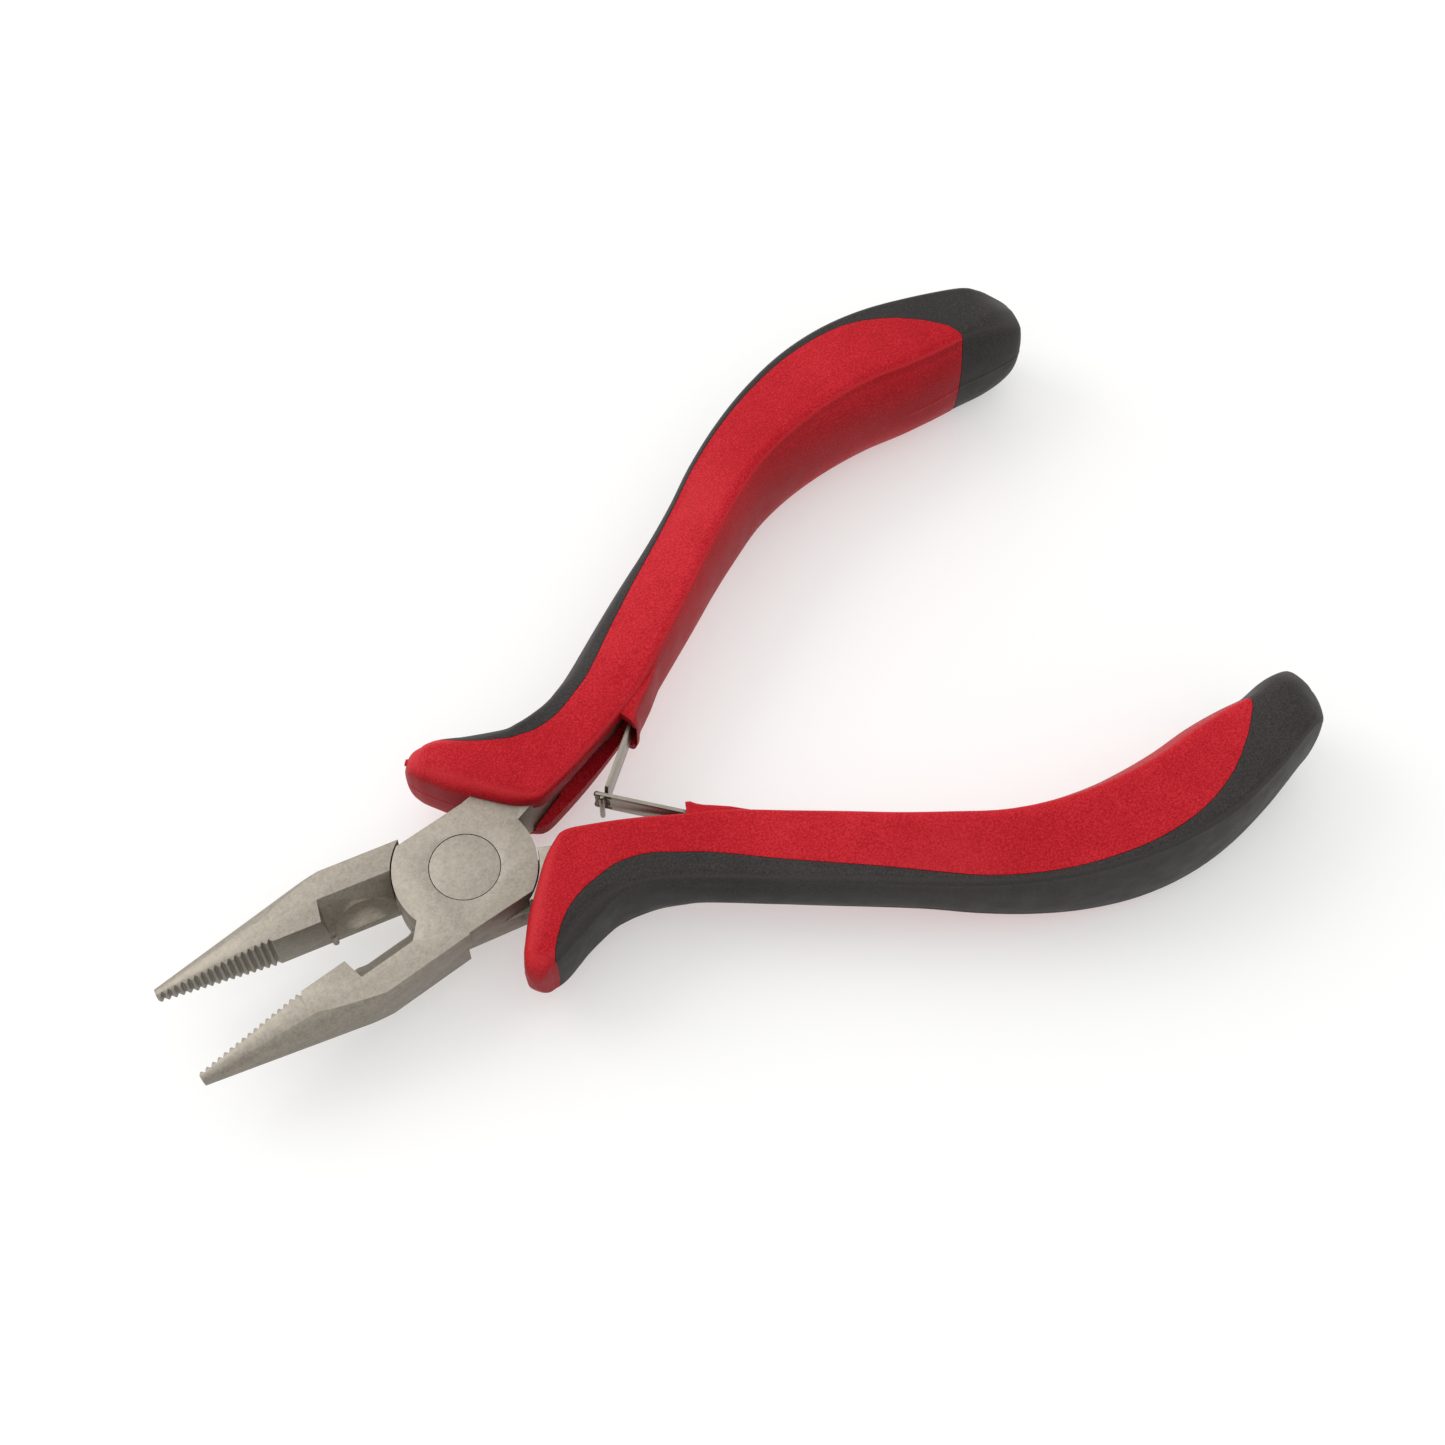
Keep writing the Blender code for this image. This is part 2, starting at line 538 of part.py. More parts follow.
    for obj in list(parts.objects):
        if obj.name.startswith("leaf_spring"):
            seat(obj, LEAF_ROOT[0], LEAF_ROOT[1] * (1 if obj.name.endswith("_a") else -1))
        else:
            seat(obj, 0.0, 0.0)
        obj.data.shade_smooth()
        obj.data.set_sharp_from_angle(angle=math.radians(35))


build()
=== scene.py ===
"""Looks of the small spring-opened pliers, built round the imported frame. Metres, +Z up."""
import json
import math

import bmesh
import bpy
from mathutils import Matrix, Vector

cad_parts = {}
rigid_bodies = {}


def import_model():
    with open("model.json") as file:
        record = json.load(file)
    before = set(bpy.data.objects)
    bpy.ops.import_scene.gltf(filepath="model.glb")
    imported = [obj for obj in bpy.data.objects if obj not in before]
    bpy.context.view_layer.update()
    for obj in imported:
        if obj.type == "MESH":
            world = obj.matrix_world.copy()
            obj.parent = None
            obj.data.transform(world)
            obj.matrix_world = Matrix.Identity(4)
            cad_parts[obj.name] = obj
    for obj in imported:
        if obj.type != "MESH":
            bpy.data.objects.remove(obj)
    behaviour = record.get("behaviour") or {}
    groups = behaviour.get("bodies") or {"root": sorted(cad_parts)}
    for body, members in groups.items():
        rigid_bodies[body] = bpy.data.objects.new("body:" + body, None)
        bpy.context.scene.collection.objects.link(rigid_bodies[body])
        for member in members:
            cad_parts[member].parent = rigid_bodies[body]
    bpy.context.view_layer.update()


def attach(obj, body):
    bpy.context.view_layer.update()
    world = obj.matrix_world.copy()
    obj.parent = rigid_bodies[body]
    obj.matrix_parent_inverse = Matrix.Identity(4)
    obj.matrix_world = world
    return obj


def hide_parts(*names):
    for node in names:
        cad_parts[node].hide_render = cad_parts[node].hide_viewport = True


for stray in list(bpy.data.objects):
    bpy.data.objects.remove(stray, do_unlink=True)
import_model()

MM = 0.001
PIVOT_X, PIVOT_Y, PIVOT_Z = -28.10, -0.175, 7.773

# ---- design dimensions, as in the CAD, in millimetres from the pivot -----------------
HEAD_H = 3.15
LAP_GAP = 0.05
LAP_R = 7.8
SHOULDER_R = 7.98
RIVET_R = 3.80
RIVET_HOLE_R = 3.875
JAW_OPEN_DEG = 7.0
JAW_LEN = 34.6
LAND = {"a": 1.0, "b": 0.3}
JAW_W = 5.6
LAND_BACK = 15.65
NOTCH_D = 2.56
CUT_Z = -2.0
TIP_R = 0.78
NOSE_TAPER = 0.21
TIP_C = 0.45
NOSE_DRIFT = 0.059
TOOTH_START = 21.4
TOOTH_PITCH = 0.76
TOOTH_DEPTH = 0.36
TANG_IN = [(7.6, 2.0), (9.9, 2.9), (13.5, 4.6), (18.5, 6.6), (26.3, 9.65), (35.2, 15.9), (43.1, 21.7), (50.9, 26.8), (59.0, 30.0), (64.6, 31.8)]
TANG_OUT = [(3.4, 6.75), (7.5, 7.6), (12.0, 7.9), (17.0, 9.0), (23.9, 12.1), (33.0, 18.2), (41.0, 23.7), (49.0, 29.0), (57.6, 32.6), (63.8, 34.0)]
TANG_HEAD_X = 14.0
TANG_H = 2.5
FIT = 0.12
GUARD = [
    ((0.42, 12.6), (2.2, 14.65), 4.0, 3.95, 0.3, 0.2, 1.35),
    ((0.85, 11.9), (3.05, 14.5), 4.5, 4.5, 0.4, 0.3, 1.8),
    ((1.6, 11.0), (4.25, 14.1), 4.9, 4.9, 0.5, 0.4, 2.3),
    ((3.15, 8.9), (5.95, 13.4), 5.25, 5.25, 0.5, 0.4, 2.6),
    ((5.3, 6.5), (8.0, 12.6), 5.4, 5.3, 0.4, 0.4, 2.4),
    ((7.6, 4.1), (10.0, 11.9), 5.4, 5.2, 0.3, 0.5, 2.0),
    ((9.4, 2.75), (11.6, 11.5), 5.3, 5.1, 0.1, 0.5, 1.5),
    ((10.9, 2.25), (12.8, 11.4), 5.2, 5.0, 0.0, 0.6, 1.0),
    ((13.6, 3.0), (14.4, 11.5), 5.0, 4.8, 0.0, 0.8, 0.9),
    ((18.0, 4.7), (16.8, 12.0), 4.7, 4.4, 0.1, 1.0, 0.8),
    ((22.6, 6.8), (19.2, 12.9), 4.4, 4.0, 0.2, 1.3, 0.8),
]
PALM_IN = {
    "a": [(27, 8.97), (36, 15.03), (44, 20.64), (52, 25.35), (60, 27.8), (68, 28.7), (76, 28.1), (83, 27.9)],
    "b": [(27, 8.8), (36, 15.2), (44, 20.97), (52, 25.83), (60, 28.4), (68, 29.25), (76, 28.55), (83, 28.4)],
}
PALM_OUT = {
    "a": [(22.14, 14.14), (31.2, 20.35), (39.28, 25.57), (47.2, 31.13), (56.15, 35.6), (66.06, 38.0), (76, 37.65), (86.3, 34.6)],
    "b": [(22, 14.05), (31, 20.2), (39, 25.57), (47, 31.0), (56, 35.5), (66, 37.9), (76, 37.5), (86.3, 34.3)],
}
PALM_KEYS = [0.0, 0.35, 0.7, 1.0]
PALM_H_IN = [4.15, 7.35, 7.95, 7.7]
PALM_H_OUT = [3.7, 3.6, 6.6, 6.7]
PALM_BULGE_IN = [0.38, 1.5, 2.6, 2.1]
PALM_BULGE_OUT = [1.7, 0.6, 0.8, 0.7]
END = [
    ((86.4, 27.7), (88.3, 33.75), 7.4, 5.8, 1.9, 0.55, 1.4),
    ((88.6, 27.6), (89.4, 32.8), 6.4, 4.6, 1.6, 0.4, 1.7),
    ((89.8, 27.9), (90.1, 31.9), 5.3, 3.6, 1.3, 0.3, 1.7),
    ((90.45, 28.8), (90.55, 31.1), 3.6, 2.6, 1.0, 0.2, 1.1),
]
PALM_CONTROLS = 12
GATE = (0.72, 14.55, 2.1)
GUARD_OUT = {"a": [0.15, 0.35, 0.4, 0.38, 0.3, 0.15], "b": [0.0]}
END_OUT = {"a": [0.3, 0.65, 0.9, 0.95], "b": [0.0, 0.0, -0.1, -0.1]}
SHARE = {
    "a": [(1.7, 1.0), (2.5, 0.93), (3.0, 0.885), (3.5, 0.845), (4.0, 0.82), (5.0, 0.835), (6.0, 0.835), (7.0, 0.84), (8.0, 0.78), (9.0, 0.755), (10.0, 0.79), (11.0, 0.85), (12.0, 0.885), (13.0, 0.905), (14.0, 0.92), (15.0, 0.935), (16.0, 0.935), (17.0, 0.925), (18.0, 0.915), (19.0, 0.898), (20.0, 0.88), (20.6, 0.865), (21.0, 0.80), (21.5, 0.684), (22.0, 0.51), (22.5, 0.268), (22.8, 0.02)],
    "b": [(0.8, 1.0), (1.5, 0.85), (2.0, 0.775), (2.5, 0.72), (3.0, 0.685), (3.5, 0.65), (4.0, 0.65), (5.0, 0.70), (6.0, 0.735), (7.0, 0.73), (8.0, 0.67), (9.0, 0.62), (10.0, 0.66), (11.0, 0.715), (12.0, 0.765), (13.0, 0.79), (14.0, 0.812), (15.0, 0.852), (16.0, 0.91), (17.0, 0.925), (18.0, 0.905), (19.0, 0.885), (20.0, 0.82), (20.5, 0.76), (21.0, 0.685), (21.5, 0.55), (22.0, 0.38), (22.5, 0.15), (22.72, 0.02)],
}
SEAM = 0.02
LEAF_ROOT = (26.6, 8.6)
LEAF_CROSS = (17.3, 0.42)
LEAF_T = 0.4
LEAF_HALF_W = {"a": 1.9, "b": 1.6}
STEM_HALF_W = 0.6
FORK_HALF_W = 0.9
HOOD_MOUTH_X = 24.0
FACET_R = 3.7
CHANNEL_H = 2.6


# ---------------------------------------------------------------- maths
def catmull(points, f):
    """Smooth reading of a list of number tuples at position f, in steps of the list."""
    n = len(points) - 1
    f = min(max(f, 0.0), n)
    i = min(int(f), n - 1)
    u = f - i
    p1, p2 = points[i], points[i + 1]
    p0 = points[i - 1] if i else tuple(2 * a - b for a, b in zip(p1, p2))
    p3 = points[i + 2] if i + 2 <= n else tuple(2 * a - b for a, b in zip(p2, p1))
    return tuple(
        0.5 * (2 * b + (c - a) * u + (2 * a - 5 * b + 4 * c - d) * u * u + (3 * b - a - 3 * c + d) * u ** 3)
        for a, b, c, d in zip(p0, p1, p2, p3)
    )


def spline(points, t):
    return catmull(points, t * (len(points) - 1))


def along(keys, values, t):
    if t <= keys[0]:
        return values[0]
    for i in range(1, len(keys)):
        if t <= keys[i]:
            return values[i - 1] + (values[i] - values[i - 1]) * (t - keys[i - 1]) / (keys[i] - keys[i - 1])
    return values[-1]


def world(x, y, z):
    return Vector(((x + PIVOT_X) * MM, (y + PIVOT_Y) * MM, (z + PIVOT_Z) * MM))


def jaw_frame(half):
    side = -1.0 if half == "a" else 1.0
    b = math.radians(JAW_OPEN_DEG)
    return Vector((-math.cos(b), side * math.sin(b), 0)), Vector((math.sin(b), side * math.cos(b), 0))


def jaw_point(half, r, w):
    a, o = jaw_frame(half)
    p = a * r + o * w
    return (p.x, p.y)


# ---------------------------------------------------------------- mesh making
stock = bpy.data.collections.new("pieces")
bpy.context.scene.collection.children.link(stock)


def bm_mesh(name, bm):
    bmesh.ops.recalc_face_normals(bm, faces=bm.faces)
    mesh = bpy.data.meshes.new(name)
    bm.to_mesh(mesh)
    bm.free()
    return mesh


def add(name, mesh):
    obj = bpy.data.objects.new(name, mesh)
    stock.objects.link(obj)
    return obj


def prism(name, points, z0, z1):
    bm = bmesh.new()
    low = [bm.verts.new(world(x, y, z0)) for x, y in points]
    high = [bm.verts.new(world(x, y, z1)) for x, y in points]
    n = len(points)
    bm.faces.new(low)
    bm.faces.new(high)
    for i in range(n):
        bm.faces.new((low[i], low[(i + 1) % n], high[(i + 1) % n], high[i]))
    bmesh.ops.triangulate(bm, faces=[f for f in bm.faces if len(f.verts) > 4])
    return add(name, bm_mesh(name, bm))


def cylinder(name, centre, radius, z0, z1, segments=96, radius2=None, axis=None):
    bm = bmesh.new()
    bmesh.ops.create_cone(
        bm, cap_ends=True, segments=segments, radius1=radius * MM,
        radius2=(radius if radius2 is None else radius2) * MM, depth=(z1 - z0) * MM,
    )
    turn = Matrix.Identity(4)
    if axis is not None:
        turn = Vector((0, 0, 1)).rotation_difference(Vector(axis)).to_matrix().to_4x4()
    bmesh.ops.transform(bm, matrix=Matrix.Translation(world(*centre)) @ turn @ Matrix.Translation((0, 0, (z0 + z1) / 2 * MM)), verts=bm.verts)
    return add(name, bm_mesh(name, bm))


def loft(name, rings):
    bm = bmesh.new()
    rows = [[bm.verts.new(world(*p)) for p in ring] for ring in rings]
    n = len(rows[0])
    for r0, r1 in zip(rows, rows[1:]):
        for i in range(n):
            bm.faces.new((r0[i], r0[(i + 1) % n], r1[(i + 1) % n], r1[i]))
    for row in (rows[0], rows[-1]):
        hub = bm.verts.new(sum((v.co for v in row), Vector()) / n)
        for i in range(n):
            bm.faces.new((row[i], row[(i + 1) % n], hub))
    return add(name, bm_mesh(name, bm))


def bake(obj):
    """Applies the modifiers."""
    bpy.context.view_layer.update()
    mesh = bpy.data.meshes.new_from_object(obj.evaluated_get(bpy.context.evaluated_depsgraph_get()))
    old = obj.data
    obj.modifiers.clear()
    obj.data = mesh
    bpy.data.meshes.remove(old)
    return obj


def cut(obj, tool, operation="DIFFERENCE", solver="MANIFOLD", keep=False):
    mod = obj.modifiers.new(operation.title(), "BOOLEAN")
    mod.operation = operation
    mod.solver = solver
    mod.object = tool
    bake(obj)
    if not keep:
        bpy.data.objects.remove(tool, do_unlink=True)
    return obj


def soften(obj, width, segments=2, angle=30, dissolve=0.6):
    """Small rounded edges, as a tumbled or moulded edge has."""
    bm = bmesh.new()
    bm.from_mesh(obj.data)
    bmesh.ops.remove_doubles(bm, verts=bm.verts, dist=1e-6)
    bmesh.ops.dissolve_degenerate(bm, dist=2e-6, edges=bm.edges)
    if dissolve:
        bmesh.ops.dissolve_limit(bm, angle_limit=math.radians(dissolve), verts=bm.verts, edges=bm.edges)
    bm.to_mesh(obj.data)
    bm.free()
    if width:
        mod = obj.modifiers.new("Edge", "BEVEL")
        mod.width = width * MM
        mod.segments = segments
        mod.limit_method = "ANGLE"
        mod.angle_limit = math.radians(angle)
        mod.use_clamp_overlap = True
        mod.miter_outer = "MITER_ARC"
        bake(obj)
    obj.data.shade_smooth()
    obj.data.set_sharp_from_angle(angle=math.radians(32))
    return obj


# ---------------------------------------------------------------- steel halves
def arc(radius, a0, a1, steps):
    return [
        (radius * math.cos(math.radians(a0 + (a1 - a0) * i / steps)), radius * math.sin(math.radians(a0 + (a1 - a0) * i / steps)))
        for i in range(steps + 1)
    ]


def lap_outline(half):
    side = 1.0 if half == "a" else -1.0
    land = LAND[half]
    jaw_side = jaw_point(half, 9.5, land + JAW_W)
    jaw_flank = jaw_point(half, 3.2, land + JAW_W - 0.15)
    jaw_in = jaw_point(half, 9.5, land + NOTCH_D + 0.3)
    jaw_angle = math.degrees(math.atan2((land + NOTCH_D + 0.3), -7.2)) + JAW_OPEN_DEG
    left = [(x, y * side) for x, y in arc(LAP_R, 131, 360 - jaw_angle, 40)]
    right = [(x, y * side) for x, y in arc(LAP_R, -52, 15, 36)]
    flank_top = (TANG_OUT[0][0], TANG_OUT[0][1] * side)
    return [flank_top, *left, jaw_in, jaw_side, jaw_flank, *right, (TANG_IN[1][0], TANG_IN[1][1] * side), (TANG_OUT[1][0], TANG_OUT[1][1] * side)]


def tang_outline(extra=0.0, from_x=None):
    ins, outs = [], []
    last = len(TANG_IN) - 1
    for i in range(0, 8 * last + 1):
        t = i / (8 * last)
        a, b = Vector(spline(TANG_IN, t)), Vector(spline(TANG_OUT, t))
        d = (b - a).normalized()
        ins.append(a - d * extra)
        outs.append(b + d * extra)
    run = (ins[-1] - ins[-2]).normalized()
    ins.append(ins[-1] + run * max(extra, 0.01))
    outs.append(outs[-1] + run * max(extra, 0.01))
    if from_x is not None:
        kept = [i for i, p in enumerate(ins) if p.x >= from_x]
        ins, outs = [ins[i] for i in kept], [outs[i] for i in kept]
    return [(p.x, p.y) for p in ins] + [(p.x, p.y) for p in reversed(outs)]


def steel_half(half):
    side = 1.0 if half == "a" else -1.0
    up = half == "a"
    land = LAND[half]
    lap_z = (LAP_GAP, HEAD_H) if up else (-HEAD_H, -LAP_GAP)
    off_z = (-HEAD_H - 1, LAP_GAP) if up else (-LAP_GAP, HEAD_H + 1)

    bar = [jaw_point(half, r, w) for r, w in ((6.4, land + NOTCH_D), (4.0, land + JAW_W), (JAW_LEN, land + JAW_W), (JAW_LEN, land), (7.0, land))]
    jaw = prism("jaw_" + half, bar, -HEAD_H, HEAD_H)
    a, o = jaw_frame(half)
    tip = a * (JAW_LEN + 0.6) + o * (land + TIP_C - 0.6 * NOSE_DRIFT)
    back = a * 2.0 + o * (land + TIP_C + (JAW_LEN - 2.0) * NOSE_DRIFT)
    nose = cylinder(
        "nose", (back.x, back.y, 0), TIP_R + (JAW_LEN - 2.0) * NOSE_TAPER, 0, (tip - back).length,
        segments=160, radius2=TIP_R - 0.6 * NOSE_TAPER, axis=(tip - back).normalized(),
    )
    cut(jaw, nose, "INTERSECT")
    # the side cutter's notch: a sloped face behind a leaning front wall, and a half-moon grind down to the edge
    rise = NOTCH_D / (HEAD_H + 0.6)
    rings = []
    for at_back in (True, False):
        ring_of = []
        for w, z in ((-4.0, -0.65), (-0.05 * rise, -0.65), (rise * 5.1, 4.5), (-4.0, 4.5)):
            r = 5.5 if at_back else LAND_BACK + 0.43 - 0.163 * w - 0.115 * (HEAD_H - z)
            ring_of.append((*jaw_point(half, r, land + w), z))
        rings.append(ring_of)
    cut(jaw, loft("notch", rings))
    lean = math.atan2(0.40, 1.0)
    mid = jaw_point(half, 11.45, land)
    axis = o * math.cos(lean) - Vector((0, 0, 1)) * math.sin(lean)
    cut(jaw, cylinder("grind", (mid[0], mid[1], CUT_Z - 0.2), FACET_R + 0.9, -3.2, 0.0 if half == "b" else -0.34, segments=160, radius2=FACET_R, axis=axis))
    # serrations
    comb = [jaw_point(half, TOOTH_START - 0.01, land - 1.5)]
    r = TOOTH_START
    while r < JAW_LEN + 0.2:
        comb.append(jaw_point(half, r, land - 0.03))
        comb.append(jaw_point(half, r + TOOTH_PITCH * 0.44, land + TOOTH_DEPTH))
        comb.append(jaw_point(half, r + TOOTH_PITCH * 0.54, land + TOOTH_DEPTH))
        comb.append(jaw_point(half, r + TOOTH_PITCH * 0.86, land - 0.03))
        r += TOOTH_PITCH
    comb.append(jaw_point(half, r + 1.0, land - 0.03))
    comb.append(jaw_point(half, r + 1.0, land - 1.5))
    cut(jaw, prism("comb", comb, -4.5, 4.5))
    if not up:
        bead = jaw_point(half, 15.3, land - 0.12)
        cut(jaw, cylinder("bead", (*bead, -2.65), 0.36, -0.45, 0.6, segments=24, radius2=0.32), "UNION")
    clear = cylinder("clear", (0, 0, 0), SHOULDER_R, *off_z, segments=180)
    cut(jaw, clear, keep=True)

    root_pts = [p for p in zip(TANG_IN, TANG_OUT) if p[0][0] <= TANG_HEAD_X]
    root = [(p[0][0], (p[0][1] - 0.02) * side) for p in root_pts] + [(p[1][0], (p[1][1] + 0.02) * side) for p in reversed(root_pts)]
    tang = prism("tang_" + half, root, -HEAD_H, HEAD_H)
    bar_pts = [(x, y * side) for x, y in tang_outline(0.0, from_x=11.0)]
    cut(tang, prism("bar", bar_pts, -TANG_H, TANG_H), "UNION")
    cut(tang, clear)

    body = prism("steel_half_" + half, lap_outline(half), *lap_z)
    cut(body, jaw, "UNION")
    cut(body, tang, "UNION")
    cut(body, cylinder("hole", (0, 0, 0), RIVET_HOLE_R, -5, 5, segments=128))
    rootp = (LEAF_ROOT[0], LEAF_ROOT[1] * side, 0)
    td = (Vector(spline(TANG_IN, 4.1 / 9)) - Vector(spline(TANG_IN, 3.9 / 9))).normalized()
    cut(body, cylinder("pin_hole", rootp, 0.75, -3.0, 8.0, segments=32, axis=(-td.y, td.x * side, 0)))
    return soften(body, 0.12, 2, 30)


# ---------------------------------------------------------------- grips
def palm_station(half, t):
    return (
        *spline(PALM_IN[half], t), *spline(PALM_OUT[half], t),
        along(PALM_KEYS, PALM_H_IN, t), along(PALM_KEYS, PALM_H_OUT, t),
        along(PALM_KEYS, PALM_BULGE_IN, t), along(PALM_KEYS, PALM_BULGE_OUT, t), 0.8,
    )


def controls(half):
    flat = []
    for i, s in enumerate(GUARD):
        more = GUARD_OUT[half][i] if i < len(GUARD_OUT[half]) else 0.0
        across = (Vector(s[1]) - Vector(s[0])).normalized() * more
        flat.append((*s[0], s[1][0] + across.x, s[1][1] + across.y, *s[2:]))
    flat += [palm_station(half, i / PALM_CONTROLS) for i in range(PALM_CONTROLS + 1)]
    flat += [(s[0][0] + more, s[0][1], s[1][0] + more, s[1][1], *s[2:]) for s, more in zip(END, END_OUT[half])]
    return flat


def share_at(half, q):
    """Where the two colours meet, as a share of the width, from the guard's tip to the handle's end."""
    keys, values = [k for k, _ in SHARE[half]], [v for _, v in SHARE[half]]
    if q > keys[-1] + 1e-6:
        return -1.0
    if q < keys[0] - 1e-6:
        return 2.0
    if q < keys[0] + 0.4 or q > keys[-1] - 1.6:
        return along(keys, values, q)
    return sum(along(keys, values, q + 0.25 * k) * w for k, w in ((-2, 1), (-1, 2), (0, 3), (1, 2), (2, 1))) / 9


def samples(half):
    ctrl = controls(half)
    first, last = SHARE[half][0][0], SHARE[half][-1][0]
    marks = {round(first - 0.02, 5), round(first, 5), round(last, 5), round(last + 0.02, 5)}
    n = len(ctrl) - 1
    steps = [i / 6 for i in range(6 * n + 1)]
    qs = sorted({round(q, 5) for q in steps if min(abs(q - m) for m in marks) > 0.05} | marks)
    return [(q, catmull(ctrl, q), share_at(half, q)) for q in qs]


def bulge(height, amount, z):
    return amount * (1 - min(1.0, abs(z) / height) ** 2.5)


def ridge(z):
    """Fine raised parting line where the two mould halves met."""
    return 0.06 * math.exp(-((z / 0.08) ** 2))


def resample(points, count, bias):
    """The polyline at count places, closer together at its end (bias over 1) or its start (under 1)."""
    lengths = [0.0]
    for p, q in zip(points, points[1:]):
        lengths.append(lengths[-1] + math.hypot(q[0] - p[0], q[1] - p[1]))
    total = lengths[-1]
    found = []
    k = 0
    for i in range(count):
        f = (i + 1) / count
        f = 1 - (1 - f) ** bias if bias >= 1 else f ** (1 / bias)
        want = total * f
        while k < len(lengths) - 2 and lengths[k + 1] < want:
            k += 1
        span = lengths[k + 1] - lengths[k]
        g = 0.0 if span < 1e-9 else (want - lengths[k]) / span
        found.append(tuple(a + (b - a) * g for a, b in zip(points[k], points[k + 1])))
    return found


def clip(points, u, keep_low):
    """The part of a polyline of rising u on one side of u, with a point made at u."""
    for k in range(len(points) - 1):
        (u0, z0), (u1, z1) = points[k], points[k + 1]
        if u0 <= u <= u1:
            g = 0.0 if u1 - u0 < 1e-9 else (u - u0) / (u1 - u0)
            mid = (u, z0 + (z1 - z0) * g)
            return points[: k + 1] + [mid] if keep_low else [mid] + points[k + 1 :]
    return points


UP = 22
LEVELS = (0.1, 0.25, 0.42, 0.6, 0.78, 0.9, 1.0)


def ring(station, share, kind, side, ripple):
    ix, iy, ox, oy, hi, ho, mi, mo, c = station
    a, b = Vector((ix, iy)), Vector((ox, oy))
    width = (b - a).length
    d = (b - a) / width
    ci, co = min(c, width * 0.5), min(c, width * (0.32 if c < 1.45 else 0.42))

    def at(p):
        q = a + d * p[0]
        return (q.x, q.y * side, p[1])

    def top(u):
        f = min(max(u / width, 0.0), 1.0)
        return hi + (ho - hi) * f + 0.16 * 4 * f * (1 - f)

    zi, zo = hi - ci, ho - co
    b0, b1 = bulge(hi, mi, zi), bulge(ho, mo, zo)
    z0, z1 = top(ci), top(width - co)
    curve = [(-b0, zi)]
    curve += [((ci + b0) * (1 - math.cos(th)) - b0, zi + (z0 - zi) * math.sin(th)) for th in (math.radians(9 * k) for k in range(1, 11))]
    curve += [(u, top(u)) for u in (ci + (width - ci - co) * k / 16 for k in range(1, 16))]
    curve += [(width - co + (co + b1) * math.sin(th), zo + (z1 - zo) * math.cos(th)) for th in (math.radians(9 * k) for k in range(0, 11))]
    inner = [(-bulge(hi, mi, z) - ripple * ridge(z), z) for z in [0.0, 0.07, 0.14] + [k * zi for k in LEVELS]]
    outer = [(width + bulge(ho, mo, z), z) for z in (zo * k for k in (0.8, 0.6, 0.4, 0.2, 0.0))]
    low, high = curve[0][0] + 0.03, curve[-1][0] - 0.03
    if kind == "core":
        if share > 1.5:
            upper = inner + resample(curve, UP, 1.35) + outer
        else:
            j = min(max(share * width, low + 0.05), high) - SEAM
            part = clip(curve, max(j - 0.04, low), True)
            zj = part[-1][1]
            upper = inner + resample(part, UP, 0.8) + [(j - 0.01, zj - 0.012), (j, zj - 0.05), (j, zj * 0.6), (j, zj * 0.3), (j, 0.0)]
    elif share < 0:
        upper = inner + resample(curve, UP, 1.35) + outer
    else:
        j = min(max(share * width, low + 0.05), high) + SEAM
        part = clip(curve, min(j + 0.04, high + 0.02), False)
        zj = part[0][1]
        upper = [(j, z) for z in [0.0, 0.07, 0.14] + [k * (zj - 0.05) for k in LEVELS]]
        upper += [(j + 0.01, zj - 0.012)] + resample(part, UP - 1, 1.35) + outer
    return [at(p) for p in upper] + [at((u, -z)) for u, z in reversed(upper[1:-1])]


def closing(end_ring, centre, direction, radius, steps=6, start=0.0):
    """Rounded end of a loft: sections that shrink as they move out, like the rest of a round from the angle start."""
    made = []
    for k in range(1, steps + 1):
        th = math.radians(start + (86 - start) * k / steps)
        size = math.cos(th) / math.cos(math.radians(start))
        made.append([tuple(centre + (Vector(p) - centre) * (0.06 + 0.94 * size) + direction * radius * (math.sin(th) - math.sin(math.radians(start)))) for p in end_ring])
    return made


def grip_piece(half, kind):
    side = 1.0 if half == "a" else -1.0
    rows = samples(half)
    if kind == "core":
        rows = [r for r in rows if r[2] > 0]
    else:
        rows = [r for r in rows if r[2] < 1.5]
    rings = []
    for q, s, share in rows:
        ripple = 1.0 if q < 5.5 else (min(1.0, max(0.0, (q - 20.6) / 0.5)))
        rings.append(ring(s, share, kind, side, ripple))

    def frame_of(s):
        across = Vector((s[2] - s[0], (s[3] - s[1]) * side, 0)).normalized()
        return Vector(((s[0] + s[2]) / 2, (s[1] + s[3]) / 2 * side, 0)), Vector((-across.y, across.x, 0)) * side

    head, tail = [], []
    if kind == "core":
        centre, out = frame_of(rows[0][1])
        head = closing(rings[0], centre, out, 2.3, 10, 24.0)
    else:
        centre, out = frame_of(rows[-1][1])
        tail = closing(rings[-1], centre, -out, 0.35)
    return loft(("red_grip_" if kind == "core" else "black_grip_") + half, list(reversed(head)) + rings + tail)


